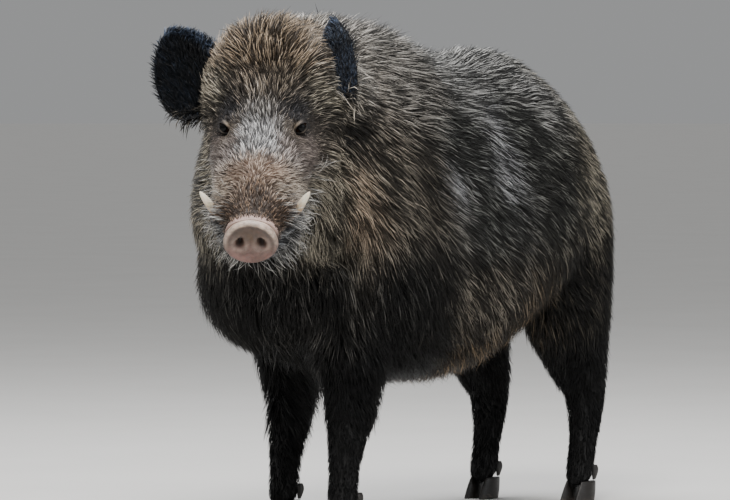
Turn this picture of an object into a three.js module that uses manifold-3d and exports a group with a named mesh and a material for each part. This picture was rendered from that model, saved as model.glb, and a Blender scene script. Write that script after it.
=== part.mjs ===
/**
 * A wild boar (an adult male in winter coat), life size, standing with its head turned to its left.
 *
 * Units are millimetres and +Z is up. The boar faces -Y, so +X is its own left side. The origin lies on
 * the ground under the middle of its box. The flesh is a row of lofts that are joined into one body and
 * then parted by thin cuts, so that head, neck, trunk, tail, ears and legs meet with an even gap. Its
 * outline is that of the coat's tips. Eyes, tusks and hooves are bodies of their own.
 */
import * as THREE from 'three';
import { mergeVertices, mergeGeometries } from 'three/addons/utils/BufferGeometryUtils.js';
import Module from 'manifold-3d';

const wasm = await Module();
wasm.setup();

// ---------------------------------------------------------------- driving dimensions

const GAP = 0.3;                       // between two parts of the flesh
const FAR = 900;                       // the reach of a cut that has no end inside the body

/** The head's own frame: a runs from the eyes to the nose, b to the boar's left, c up from the jaw. */
const HEAD = { eyes: [90, -260, 710], yaw: 30.5, pitch: 39.5 };
const NOSE_AT = 288;                   // where the nose disc begins, along a
const NOSE_DISC = { thick: 17, half: 46, above: 40, below: 38, tilt: 10 };
const EYE = { radius: 12.5, a: 15, b: 63, c: 11 };
const TUSK = { a: 202, b: 74, c: -20, length: 45, radius: 8.6, flare: 13, curl: 0.8 };
const EAR = { length: 158, half: 75, thick: 10, cup: 40 };

/** How each ear is set in the head's frame: root, the way its tip points and the way its cup opens. */
const EAR_SET = {
  left: { root: [-102, 106, -46], tip: [-0.63, 0.04, 0.78], open: [-0.41, 0.85, -0.32] },
  right: { root: [-90, -98, -36], tip: [-0.65, -0.53, 0.57], open: [0.77, -0.27, 0.68] },
};

/** Feet: x is measured from the middle of the body, y from the shoulders, and soles stand at z = 0. */
const FEET = {
  fore_left: { x: 97, y: -47 },
  fore_right: { x: -104, y: 55 },
  hind_left: { x: 98, y: 716 },
  hind_right: { x: -98, y: 688 },
};
Object.entries(FEET).forEach(([name, foot]) => Object.assign(foot, { name }));
const HOOF = {
  length: 62, width: 27, height: 40, spread: 2.5, sides: 10, levels: [[0, 1], [0.5, 0.94], [1, 0.74]],
};
const DEWCLAW = {
  length: 26, width: 17, height: 28, apart: 17, behind: 33, lift: 41, sides: 6, levels: [[0, 0.8], [1, 1]],
};

// ---------------------------------------------------------------- outlines of the body

/** Trunk: height of the back and of the belly's hair, and half the width with its height, along y. */
const TRUNK = [
  { y: -178, back: 590, belly: 440, half: 60, girth: 510 },
  { y: -150, back: 695, belly: 372, half: 124, girth: 500 },
  { y: -80, back: 820, belly: 320, half: 186, girth: 495 },
  { y: 20, back: 893, belly: 294, half: 214, girth: 495 },
  { y: 110, back: 905, belly: 264, half: 220, girth: 505 },
  { y: 200, back: 880, belly: 250, half: 220, girth: 515 },
  { y: 300, back: 846, belly: 252, half: 222, girth: 525 },
  { y: 390, back: 833, belly: 276, half: 220, girth: 535 },
  { y: 470, back: 847, belly: 316, half: 212, girth: 545 },
  { y: 560, back: 846, belly: 362, half: 200, girth: 560 },
  { y: 640, back: 810, belly: 390, half: 184, girth: 570 },
  { y: 715, back: 760, belly: 404, half: 158, girth: 570 },
  { y: 780, back: 698, belly: 424, half: 116, girth: 566 },
  { y: 816, back: 648, belly: 456, half: 76, girth: 560 },
  { y: 832, back: 600, belly: 500, half: 36, girth: 550 },
];

/** Neck: its core line, the height of mane and throat above and below it, and half the width. */
const NECK = [
  { at: 0, core: [0, 170, 560], above: 300, below: 226, half: 186 },
  { at: 1, core: [2, 60, 550], above: 353, below: 240, half: 208 },
  { at: 2, core: [22, -60, 548], above: 358, below: 210, half: 198 },
  { at: 3, core: [46, -146, 560], above: 342, below: 162, half: 164 },
  { at: 4, core: [66, -200, 592], above: 288, below: 136, half: 130 },
  { at: 5, core: [82, -244, 630], above: 200, below: 104, half: 90 },
];

/** Skull and upper snout, in the head's frame: top line, underside, half width and how square the top is. */
const SKULL = [
  { a: -205, top: 74, under: -150, half: 88, crown: 2.4 },
  { a: -165, top: 117, under: -205, half: 107, crown: 2.4 },
  { a: -120, top: 126, under: -222, half: 111, crown: 2.3 },
  { a: -70, top: 98, under: -218, half: 111, crown: 2 },
  { a: -20, top: 68, under: -200, half: 108, crown: 1.75 },
  { a: 30, top: 55, under: -165, half: 98, crown: 1.7 },
  { a: 80, top: 49, under: -125, half: 85, crown: 1.8 },
  { a: 130, top: 46, under: -95, half: 77, crown: 1.9 },
  { a: 180, top: 44, under: -76, half: 79, crown: 1.9 },
  { a: 215, top: 41, under: -62, half: 74, crown: 1.9 },
  { a: 250, top: 38, under: -44, half: 50, crown: 2 },
  { a: 292, top: 35, under: -35, half: 40, crown: 2 },
];

/** Lower jaw, in the head's frame. */
const JAW = [
  { a: 20, top: -60, under: -192, half: 86, crown: 2 },
  { a: 80, top: -48, under: -166, half: 80, crown: 2 },
  { a: 140, top: -38, under: -140, half: 76, crown: 2.3 },
  { a: 195, top: -24, under: -118, half: 78, crown: 2.6 },
  { a: 232, top: -32, under: -100, half: 50, crown: 2.2 },
  { a: 256, top: -42, under: -82, half: 24, crown: 2 },
];

/** A leg from the hoof up: height, how far behind and outside of its foot, half its depth and width. */
const FORELEG = [
  { z: 30, back: 4, out: 0, deep: 29, wide: 27 },
  { z: 52, back: 8, out: 0, deep: 32, wide: 30 },
  { z: 85, back: 10, out: 0, deep: 31, wide: 28 },
  { z: 130, back: 15, out: 0, deep: 38, wide: 29 },
  { z: 180, back: 28, out: 0, deep: 55, wide: 35 },
  { z: 225, back: 35, out: 1, deep: 66, wide: 42 },
  { z: 290, back: 32, out: 4, deep: 80, wide: 56 },
  { z: 360, back: 30, out: 8, deep: 102, wide: 70 },
  { z: 450, back: 26, out: 10, deep: 128, wide: 80 },
  { z: 540, back: 16, out: 4, deep: 112, wide: 70 },
];
const HINDLEG = [
  { z: 30, back: 4, out: 0, deep: 29, wide: 27 },
  { z: 52, back: 8, out: 0, deep: 31, wide: 29 },
  { z: 85, back: 15, out: 0, deep: 30, wide: 27 },
  { z: 130, back: 25, out: 0, deep: 34, wide: 29 },
  { z: 175, back: 30, out: 0, deep: 43, wide: 33 },
  { z: 215, back: 24, out: 0, deep: 58, wide: 38 },
  { z: 265, back: -14, out: 2, deep: 88, wide: 50 },
  { z: 340, back: -48, out: 4, deep: 124, wide: 64 },
  { z: 430, back: -52, out: 4, deep: 132, wide: 72 },
  { z: 520, back: -48, out: 2, deep: 130, wide: 74 },
  { z: 610, back: -34, out: 0, deep: 100, wide: 60 },
];

/** Tail: its core line down from the root, and the radius of its hair. */
const TAIL = [
  { at: 0, core: [0, 775, 690], radius: 34 },
  { at: 1, core: [0, 824, 672], radius: 26 },
  { at: 2, core: [-2, 852, 620], radius: 18 },
  { at: 3, core: [-6, 860, 550], radius: 15 },
  { at: 4, core: [-10, 858, 480], radius: 18 },
  { at: 5, core: [-12, 854, 425], radius: 20 },
  { at: 6, core: [-12, 851, 385], radius: 7 },
];

// ---------------------------------------------------------------- shapes

const vector = (point) => new THREE.Vector3(...point);

/** A named value of a row of stations, read smoothly at any place along the row. */
function between(stations, along, name, at) {
  const last = stations.length - 1;
  let i = 0;
  while (i < last - 1 && stations[i + 1][along] < at) i += 1;
  const [p, q] = [stations[i], stations[i + 1]];
  const [before, after] = [stations[Math.max(i - 1, 0)], stations[Math.min(i + 2, last)]];
  const span = q[along] - p[along];
  const slope = (from, to) => (to[name] - from[name]) / (to[along] - from[along]);
  const [leave, arrive] = [slope(before, q) * span, slope(p, after) * span];
  const t = (at - p[along]) / span;
  return p[name] + t * leave + t ** 2 * (3 * (q[name] - p[name]) - 2 * leave - arrive)
    + t ** 3 * (2 * (p[name] - q[name]) + leave + arrive);
}

/** Places between two ends, closer together towards both, so that round ends stay round. */
function places(from, to, count) {
  return Array.from({ length: count + 1 }, (_, i) => {
    const even = i / count;
    const eased = (1 - Math.cos(Math.PI * even)) / 2;
    return THREE.MathUtils.lerp(from, to, even * 0.45 + eased * 0.55);
  });
}

/** One cross-section: a rounded outline, with its own height above and below the centre. */
function ring(centre, across, up, { half, above, below, crown = 2, keel = 2, sides }) {
  return Array.from({ length: sides }, (_, i) => {
    const turn = (2 * Math.PI * i) / sides;
    const [c, s] = [Math.cos(turn), Math.sin(turn)];
    const square = 2 / (s > 0 ? crown : keel);
    const x = half * Math.sign(c) * Math.abs(c) ** square;
    const y = (s > 0 ? above : below) * Math.sign(s) * Math.abs(s) ** square;
    return centre.clone().addScaledVector(across, x).addScaledVector(up, y);
  });
}

/** The flat end over one ring, as triangles that turn the same way as the ring. */
function cap(outline) {
  const middle = new THREE.Vector3();
  const facing = new THREE.Vector3();
  outline.forEach((point) => middle.addScaledVector(point, 1 / outline.length));
  outline.forEach((point, i) => {
    const next = outline[(i + 1) % outline.length].clone().sub(middle);
    facing.add(point.clone().sub(middle).cross(next));
  });
  const u = outline[0].clone().sub(outline[1]).projectOnPlane(facing).normalize();
  const v = new THREE.Vector3().crossVectors(facing.normalize(), u);
  const flat = outline.map((point) => new THREE.Vector2(point.dot(u), point.dot(v)));
  return THREE.ShapeUtils.triangulateShape(flat, []).map((corners) => corners.sort((a, b) => a - b));
}

/** The closed skin over a row of rings that have the same number of points. */
function loft(rings) {
  const sides = rings[0].length;
  const points = rings.flat();
  const faces = [];
  for (let r = 0; r < rings.length - 1; r += 1) {
    for (let i = 0; i < sides; i += 1) {
      const [p, q] = [r * sides + i, r * sides + ((i + 1) % sides)];
      faces.push(p, q, q + sides, p, q + sides, p + sides);
    }
  }
  const end = (rings.length - 1) * sides;
  for (const corners of cap(rings[0])) faces.push(...corners.reverse());
  for (const corners of cap(rings.at(-1))) faces.push(...corners.map((i) => end + i));
  const geometry = new THREE.BufferGeometry().setFromPoints(points);
  geometry.setIndex(faces);
  if (volume(geometry) < 0) geometry.setIndex(faces.reverse());
  return geometry;
}

/** Six times the signed volume, which is negative where the faces point inwards. */
function volume(geometry) {
  const [at, index] = [geometry.attributes.position, geometry.index];
  const [p, q, r] = [new THREE.Vector3(), new THREE.Vector3(), new THREE.Vector3()];
  let sum = 0;
  for (let i = 0; i < index.count; i += 3) {
    p.fromBufferAttribute(at, index.getX(i));
    q.fromBufferAttribute(at, index.getX(i + 1));
    r.fromBufferAttribute(at, index.getX(i + 2));
    sum += p.dot(q.cross(r));
  }
  return sum;
}

/** A closed geometry as a solid that can be joined and cut. */
function solid(geometry) {
  const bare = geometry.clone();
  bare.deleteAttribute('normal');
  bare.deleteAttribute('uv');
  const merged = mergeVertices(bare, 1e-4);
  return new wasm.Manifold(new wasm.Mesh({
    numProp: 3,
    vertProperties: new Float32Array(merged.attributes.position.array),
    triVerts: new Uint32Array(merged.index.array),
  }));
}

/** A solid's faces as a geometry. */
function skinOf(body) {
  const mesh = body.getMesh();
  const geometry = new THREE.BufferGeometry();
  geometry.setAttribute('position', new THREE.BufferAttribute(mesh.vertProperties, 3));
  geometry.setIndex(new THREE.BufferAttribute(mesh.triVerts, 1));
  return geometry;
}

/** A box between two corners, turned and moved by a matrix, and grown all round. */
function block(low, high, placed = new THREE.Matrix4(), grow = 0) {
  const [from, to] = [vector(low).subScalar(grow), vector(high).addScalar(grow)];
  const size = to.clone().sub(from);
  const middle = from.add(to).multiplyScalar(0.5);
  const box = new THREE.BoxGeometry(size.x, size.y, size.z);
  box.translate(middle.x, middle.y, middle.z).applyMatrix4(placed);
  return solid(box);
}

/** The head's frame as a matrix: a, b and c become places in the boar's frame. */
function headFrame() {
  const [yaw, pitch] = [HEAD.yaw, HEAD.pitch].map(THREE.MathUtils.degToRad);
  const ahead = new THREE.Vector3(Math.sin(yaw), -Math.cos(yaw), 0);
  const left = new THREE.Vector3(Math.cos(yaw), Math.sin(yaw), 0);
  const a = ahead.clone().multiplyScalar(Math.cos(pitch)).setZ(-Math.sin(pitch));
  const c = ahead.clone().multiplyScalar(Math.sin(pitch)).setZ(Math.cos(pitch));
  return new THREE.Matrix4().makeBasis(a, left, c).setPosition(vector(HEAD.eyes));
}

const head = headFrame();
const A = new THREE.Vector3(1, 0, 0);
const B = new THREE.Vector3(0, 1, 0);
const C = new THREE.Vector3(0, 0, 1);

// ---------------------------------------------------------------- flesh

function trunk() {
  const rings = places(TRUNK[0].y, TRUNK.at(-1).y, 20).map((y) => {
    const [back, belly, half, girth] = ['back', 'belly', 'half', 'girth']
      .map((name) => between(TRUNK, 'y', name, y));
    const shape = { half, above: back - girth, below: girth - belly, crown: 1.85, keel: 2.9, sides: 22 };
    return ring(new THREE.Vector3(0, y, girth), A, C, shape);
  });
  return loft(rings);
}

function neck() {
  const core = new THREE.CatmullRomCurve3(NECK.map((station) => vector(station.core)));
  const rings = places(0, NECK.length - 1, 9).map((at) => {
    const along = at / (NECK.length - 1);
    const ahead = core.getTangent(along).setZ(0).normalize();
    const across = new THREE.Vector3(-ahead.y, ahead.x, 0);
    const [above, below, half] = ['above', 'below', 'half'].map((name) => between(NECK, 'at', name, at));
    return ring(core.getPoint(along), across, C, { half, above, below, crown: 1.75, keel: 2.1, sides: 20 });
  });
  return loft(rings);
}

/** A part of the head, lofted along a. */
function alongHead(stations, count, sides) {
  const rings = places(stations[0].a, stations.at(-1).a, count).map((a) => {
    const [top, under, half, crown] = ['top', 'under', 'half', 'crown']
      .map((name) => between(stations, 'a', name, a));
    const level = (top + under) / 2;
    const shape = { half, above: top - level, below: level - under, crown, keel: 2.1, sides };
    return ring(new THREE.Vector3(a, 0, level), B, C, shape);
  });
  return loft(rings).applyMatrix4(head);
}

/** The nose disc: a short round plate that stands a little proud of the snout and leans back. */
function noseDisc() {
  const lean = THREE.MathUtils.degToRad(NOSE_DISC.tilt);
  const up = new THREE.Vector3(Math.sin(-lean), 0, Math.cos(lean));
  const profile = [[-12, 0.8], [0, 0.94], [5, 1], [12, 1], [NOSE_DISC.thick, 0.9]];
  const rings = profile.map(([ahead, size]) => {
    const { half, above, below } = NOSE_DISC;
    const shape = { half: half * size, above: above * size, below: below * size, crown: 2.2, keel: 1.9 };
    return ring(new THREE.Vector3(NOSE_AT + ahead, 0, 0), B, up, { ...shape, sides: 24 });
  });
  return loft(rings).applyMatrix4(head);
}

/** A flat outline that turns to the left, moved outwards by the same distance all round. */
function swollen(outline, by) {
  return outline.map((point, i) => {
    const arriving = point.clone().sub(outline.at(i - 1)).normalize();
    const leaving = outline[(i + 1) % outline.length].clone().sub(point).normalize();
    const along = arriving.clone().add(leaving).normalize();
    const outwards = new THREE.Vector2(along.y, -along.x);
    return outwards.multiplyScalar(by / along.dot(arriving)).add(point);
  });
}

/** An ear: a cupped leaf with a broad root and a round tip. */
function ear(side, grow = 0) {
  const half = 7;
  const rings = Array.from({ length: 11 }, (_, k) => {
    const t = Math.sin((Math.PI / 2) * (k / 10));
    const leaf = Math.cos((Math.PI / 2) * Math.min(t, 0.985) ** 1.8) ** 0.7;
    const root = 0.66 + 0.34 * THREE.MathUtils.smoothstep(t, 0, 0.2);
    const width = EAR.half * leaf * root;
    const cup = EAR.cup * (1 - 0.7 * t) * Math.min(1, (leaf * EAR.half) / 40);
    const thick = THREE.MathUtils.lerp(EAR.thick * 1.8, EAR.thick * 0.6, t);
    const up = THREE.MathUtils.lerp(-grow, EAR.length + grow, t);
    const outline = Array.from({ length: 2 * half }, (__, i) => {
      const turn = (Math.PI * (i + 0.5)) / half;
      const u = Math.cos(turn);
      return new THREE.Vector2(u * width, cup * (0.5 - u * u) + 0.5 * thick * Math.sin(turn));
    });
    return swollen(outline, grow).map(({ x, y }) => new THREE.Vector3(x, y, up));
  });
  const placed = new THREE.Matrix4().multiplyMatrices(head, earFrame(EAR_SET[side]));
  return loft(rings).applyMatrix4(placed);
}

/** The frame of an ear on the head: z runs up the ear, and -y is the way its cup opens. */
function earFrame({ root, tip, open }) {
  const z = vector(tip).normalize();
  const y = vector(open).negate();
  y.addScaledVector(z, -y.dot(z)).normalize();
  const x = new THREE.Vector3().crossVectors(y, z);
  return new THREE.Matrix4().makeBasis(x, y, z).setPosition(vector(root));
}

function leg(stations, foot, sides) {
  const outward = Math.sign(foot.x);
  const rings = places(stations[0].z, stations.at(-1).z, 12).map((z) => {
    const [back, out, deep, wide] = ['back', 'out', 'deep', 'wide']
      .map((name) => between(stations, 'z', name, z));
    const centre = new THREE.Vector3(foot.x + outward * out, foot.y + back, z);
    return ring(centre, A, B, { half: wide, above: deep, below: deep * 0.92, sides });
  });
  return loft(rings);
}

function tail() {
  const core = new THREE.CatmullRomCurve3(TAIL.map((station) => vector(station.core)));
  const rings = places(0, TAIL.length - 1, 11).map((at) => {
    const along = at / (TAIL.length - 1);
    const tangent = core.getTangent(along);
    const up = new THREE.Vector3().crossVectors(tangent, A).normalize();
    const radius = between(TAIL, 'at', 'radius', at);
    return ring(core.getPoint(along), A, up, { half: radius, above: radius, below: radius, sides: 10 });
  });
  return loft(rings);
}

// ---------------------------------------------------------------- eyes, tusks and hooves

/** A round ball, made of as many rings as it needs. */
function ball(radius, grow = 0) {
  return new THREE.IcosahedronGeometry(radius + grow, 2);
}

/** The middle of an eye in the boar's frame. */
const eyeAt = (side) => new THREE.Vector3(EYE.a, side * EYE.b, EYE.c).applyMatrix4(head);

/** A lower tusk: it leaves the jaw outwards and curls up and back to a point. */
function tusk(side, grow = 0) {
  const rings = Array.from({ length: 8 }, (_, i) => {
    const t = i / 7;
    const bend = t * TUSK.curl;
    const rise = (TUSK.length * Math.sin(bend)) / TUSK.curl;
    const swing = (TUSK.length * (1 - Math.cos(bend))) / TUSK.curl;
    const centre = new THREE.Vector3(
      TUSK.a - swing * 0.55,
      side * (TUSK.b + TUSK.flare * t + swing * 0.2),
      TUSK.c + rise,
    );
    const radius = TUSK.radius * Math.sqrt(1.02 - t ** 2.2) + grow;
    return ring(centre, A, B, { half: radius * 1.15, above: radius, below: radius, sides: 8 });
  });
  return loft(rings).applyMatrix4(head);
}

/** One claw of a hoof: a blunt wedge with a flat sole. The toe points to -y and side is its outer side. */
function claw({ length, width, height, sides, levels }, side, grow = 0) {
  const rings = levels.map(([rise, size]) => Array.from({ length: sides }, (_, i) => {
    const turn = (2 * Math.PI * i) / sides;
    const ahead = Math.cos(turn);
    const pinch = ahead > 0 ? 1 - 0.5 * ahead ** 2 : 1 - 0.12 * ahead ** 2;
    const out = Math.sin(turn) * pinch * (Math.sin(turn) * side > 0 ? 1.1 : 0.9);
    const x = out * (0.5 * width * size + 2 * grow);
    const y = -ahead * (0.5 * length * size + 2 * grow) + rise * length * 0.24;
    return new THREE.Vector3(x, y, THREE.MathUtils.lerp(-grow, height + grow, rise));
  }));
  return loft(rings);
}

/** The four horn pieces of a foot: their names, shapes and places about the foot's own point. */
function horn(foot) {
  const outer = Math.sign(foot.x);
  return [['outer', outer], ['inner', -outer]].flatMap(([place, side]) => {
    const hoof = [side * (HOOF.width / 2 + HOOF.spread), 0, 0];
    const dewclaw = [side * DEWCLAW.apart, DEWCLAW.behind, DEWCLAW.lift];
    return [
      { name: `hoof_${foot.name}_${place}`, spec: HOOF, side, at: hoof },
      { name: `dewclaw_${foot.name}_${place}`, spec: DEWCLAW, side, at: dewclaw },
    ];
  });
}

// ---------------------------------------------------------------- the boar

const material = (color, roughness) => new THREE.MeshStandardMaterial({ color, roughness, metalness: 0 });
const FINISH = {
  face: material(0x6e6052, 0.8),
  coat: material(0x45403b, 0.85),
  dark: material(0x1d1b1b, 0.85),
  nose: material(0x96746f, 0.45),
  eye: material(0x120c08, 0.08),
  tusk: material(0xe4dcc4, 0.35),
  horn: material(0x2a2522, 0.5),
};

const boar = new THREE.Group();
boar.name = 'wild_boar';

function add(name, geometry, finish, parent = boar) {
  const mesh = new THREE.Mesh(geometry, finish);
  mesh.name = name;
  parent.add(mesh);
  return mesh;
}

/** All the flesh as one body, with room for the eyes and the tusks. */
function wholeBody() {
  let body = solid(trunk()).add(solid(neck()));
  body = body.add(solid(alongHead(SKULL, 14, 22))).add(solid(alongHead(JAW, 7, 16)));
  body = body.add(solid(noseDisc())).add(solid(tail()));
  for (const [name, foot] of Object.entries(FEET)) {
    body = body.add(solid(leg(name.startsWith('fore') ? FORELEG : HINDLEG, foot, 12)));
  }
  for (const side of [1, -1]) {
    const socket = ball(EYE.radius, GAP).translate(...eyeAt(side));
    body = body.subtract(solid(socket)).subtract(solid(tusk(side, GAP)));
  }
  for (const side of ['left', 'right']) body = body.subtract(solid(ear(side, 2 * GAP)));
  for (const foot of Object.values(FEET)) {
    for (const { spec, side, at } of horn(foot)) {
      body = body.subtract(solid(claw(spec, side, GAP).translate(foot.x + at[0], foot.y + at[1], at[2])));
    }
  }
  return body;
}

/** A turn about the body's own left-to-right axis, about a point. */
function leaning(degrees, [x, y, z]) {
  return new THREE.Matrix4().makeTranslation(x, y, z)
    .multiply(new THREE.Matrix4().makeRotationX(THREE.MathUtils.degToRad(degrees)));
}

/** The parts of the flesh, in the order that they are cut off: low and high corners, and the frame. */
function regions() {
  const cuts = [];
  const mouth = head.clone().multiply(new THREE.Matrix4().makeTranslation(262, 0, -42))
    .multiply(new THREE.Matrix4().makeRotationY(-0.2));
  cuts.push(['nose_disc', [NOSE_AT, -80, -80], [NOSE_AT + 60, 80, 80], head, FINISH.nose]);
  cuts.push(['jaw', [-190, -110, -140], [30, 110, 0], mouth, FINISH.dark]);
  cuts.push(['snout', [130, -110, -110], [NOSE_AT - GAP, 110, 110], head, FINISH.face]);
  cuts.push(['head', [-118, -150, -210], [140, 150, 260], head, FINISH.face]);
  cuts.push(['tail', [-60, 0, -FAR], [60, FAR, FAR], leaning(0, [0, 834, 520]), FINISH.dark]);
  for (const [name, foot] of Object.entries(FEET)) {
    const [limb, side] = name.split('_');
    const out = Math.sign(foot.x);
    const inner = out * 8;
    const [from, to] = [Math.min(inner, out * FAR), Math.max(inner, out * FAR)];
    const knee = limb === 'fore' ? 205 : 225;
    const low = [from, foot.y - 130, -FAR];
    cuts.push([`${limb}foot_${side}`, low, [to, foot.y + 160, knee], undefined, FINISH.dark]);
    const hip = limb === 'fore'
      ? [[from, -100, -FAR], [to, 105, 0], leaning(0, [0, foot.y + 28, 400])]
      : [[from, -150, -FAR], [to, 400, 0], leaning(0, [0, foot.y - 20, 520])];
    cuts.push([`${limb}leg_${side}`, ...hip, FINISH.dark]);
  }
  cuts.push(['neck', [-FAR, -FAR, -FAR], [FAR, 0, FAR], leaning(-14, [0, -35, 600]), FINISH.coat]);
  cuts.push(['shoulders', [-FAR, -FAR, -FAR], [FAR, 215, FAR], undefined, FINISH.coat]);
  cuts.push(['rump', [-FAR, 560, -FAR], [FAR, FAR, FAR], undefined, FINISH.coat]);
  cuts.push(['barrel', [-FAR, -FAR, -FAR], [FAR, FAR, FAR], undefined, FINISH.coat]);
  return cuts;
}

/** The largest body of a cut, without the slivers that a slot may leave beside it. */
const largest = (cut) => cut.decompose().reduce((a, b) => (b.volume() > a.volume() ? b : a));

let flesh = wholeBody();
for (const [name, low, high, frame, finish] of regions()) {
  add(name, skinOf(largest(flesh.intersect(block(low, high, frame)))), finish);
  flesh = flesh.subtract(block(low, high, frame, GAP));
}

for (const [name, side] of [['left', 1], ['right', -1]]) {
  add(`eye_${name}`, ball(EYE.radius), FINISH.eye).position.copy(eyeAt(side));
  add(`tusk_${name}`, tusk(side), FINISH.tusk);
  add(`ear_${name}`, ear(name), FINISH.dark);
}

for (const foot of Object.values(FEET)) {
  const standing = new THREE.Group();
  standing.position.set(foot.x, foot.y, 0);
  boar.add(standing);
  for (const { name, spec, side, at } of horn(foot)) {
    add(name, claw(spec, side), FINISH.horn, standing).position.set(...at);
  }
}

// the origin goes to the ground under the middle of the whole box
const box = new THREE.Box3().setFromObject(boar);
boar.position.set(-(box.min.x + box.max.x) / 2, -(box.min.y + box.max.y) / 2, 0);

export default boar;
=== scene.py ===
"""A wild boar in winter coat, life size, standing with its head turned to its left.

The flesh nodes of the frame are made into one skin that lies inside them by the depth of the coat. The
face is sculpted into that skin. The coat is made of many thin closed blades that are rooted on the skin,
follow it along the lie of the hair, and reach out to the outline of the frame.
"""

import math

import bmesh
import bpy
import numpy as np
from mathutils import Matrix, Vector
from mathutils.bvhtree import BVHTree
from mathutils.kdtree import KDTree


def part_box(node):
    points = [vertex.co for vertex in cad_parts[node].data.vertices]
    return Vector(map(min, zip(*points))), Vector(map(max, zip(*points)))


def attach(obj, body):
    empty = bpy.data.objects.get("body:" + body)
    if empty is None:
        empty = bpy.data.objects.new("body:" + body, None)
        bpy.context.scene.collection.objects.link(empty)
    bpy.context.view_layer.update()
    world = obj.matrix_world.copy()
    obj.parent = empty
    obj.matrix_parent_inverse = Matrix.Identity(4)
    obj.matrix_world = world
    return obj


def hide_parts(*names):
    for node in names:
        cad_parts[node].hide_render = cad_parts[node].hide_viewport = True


bl_info = {
    "name": "Wild Boar",
    "version": (1, 0, 0),
    "blender": (4, 5, 0),
    "location": "View3D > Sidebar > Boar",
    "description": "Skin, coat, face and feet of a life-size wild boar",
    "category": "Add Mesh",
}

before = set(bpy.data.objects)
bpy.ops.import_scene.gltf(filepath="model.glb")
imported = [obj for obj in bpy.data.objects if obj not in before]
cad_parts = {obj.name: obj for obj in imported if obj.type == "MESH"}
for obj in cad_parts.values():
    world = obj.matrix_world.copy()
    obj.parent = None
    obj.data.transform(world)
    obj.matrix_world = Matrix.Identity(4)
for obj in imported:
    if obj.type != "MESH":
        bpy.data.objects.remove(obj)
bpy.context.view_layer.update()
MM = 0.001
SIDES = {"left": 1, "right": -1}


def middle(node):
    """The middle of a frame node's box."""
    low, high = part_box(node)
    return (low + high) / 2


# ------------------------------------------------------------------ frames of the body and of the head

MIDLINE = (middle("hindfoot_left").x + middle("hindfoot_right").x) / 2


def head_frame():
    """The head's own frame: x runs to the nose, y to the boar's left, z up from the jaw."""
    left, right = middle("eye_left"), middle("eye_right")
    across = (left - right).normalized()
    between = (left + right) / 2
    ahead = middle("nose_disc") - between
    ahead = (ahead - across * ahead.dot(across)).normalized()
    up = ahead.cross(across)
    lift = math.radians(2.1)
    forward = ahead * math.cos(lift) + up * math.sin(lift)
    crown = forward.cross(across)
    origin = between - forward * 15 * MM - crown * 11 * MM
    return Matrix([[*row] for row in zip(forward, across, crown, origin)]).to_4x4()


HEAD = head_frame()
HEAD_AXES = np.array(HEAD.to_3x3())
HEAD_ORIGIN = np.array(HEAD.translation)


def in_head(points):
    """Points of the whole frame, read in the head's frame, in millimetres."""
    return (points - HEAD_ORIGIN) @ HEAD_AXES / MM


def from_head(points):
    """Points in the head's frame, in millimetres, placed in the whole frame."""
    return np.asarray(points, float) * MM @ HEAD_AXES.T + HEAD_ORIGIN


# ------------------------------------------------------------------ small maths


def unit(vectors):
    """Vectors scaled to length one."""
    return vectors / np.maximum(np.linalg.norm(vectors, axis=-1, keepdims=True), 1e-12)


def ease(low, high, values):
    """0 below low, 1 above high and smooth between."""
    t = np.clip((values - low) / (high - low), 0, 1)
    return t * t * (3 - 2 * t)


def bell(values, width):
    """1 at zero, falling off smoothly over a width."""
    return np.exp(-0.5 * (values / width) ** 2)


def waves(points, size, seed, octaves=3):
    """Smooth noise between about -1 and 1, a sum of waves that run in random directions."""
    chance = np.random.default_rng(seed)
    total = np.zeros(len(points))
    for octave in range(octaves):
        for _ in range(6):
            way = unit(chance.normal(size=3)) * 2 * math.pi / size * 2**octave
            total += np.sin(points @ way + chance.uniform(0, 2 * math.pi)) * 0.6**octave
    return total / (6**0.5 * 1.6)


# ------------------------------------------------------------------ the coat, place by place

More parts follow.
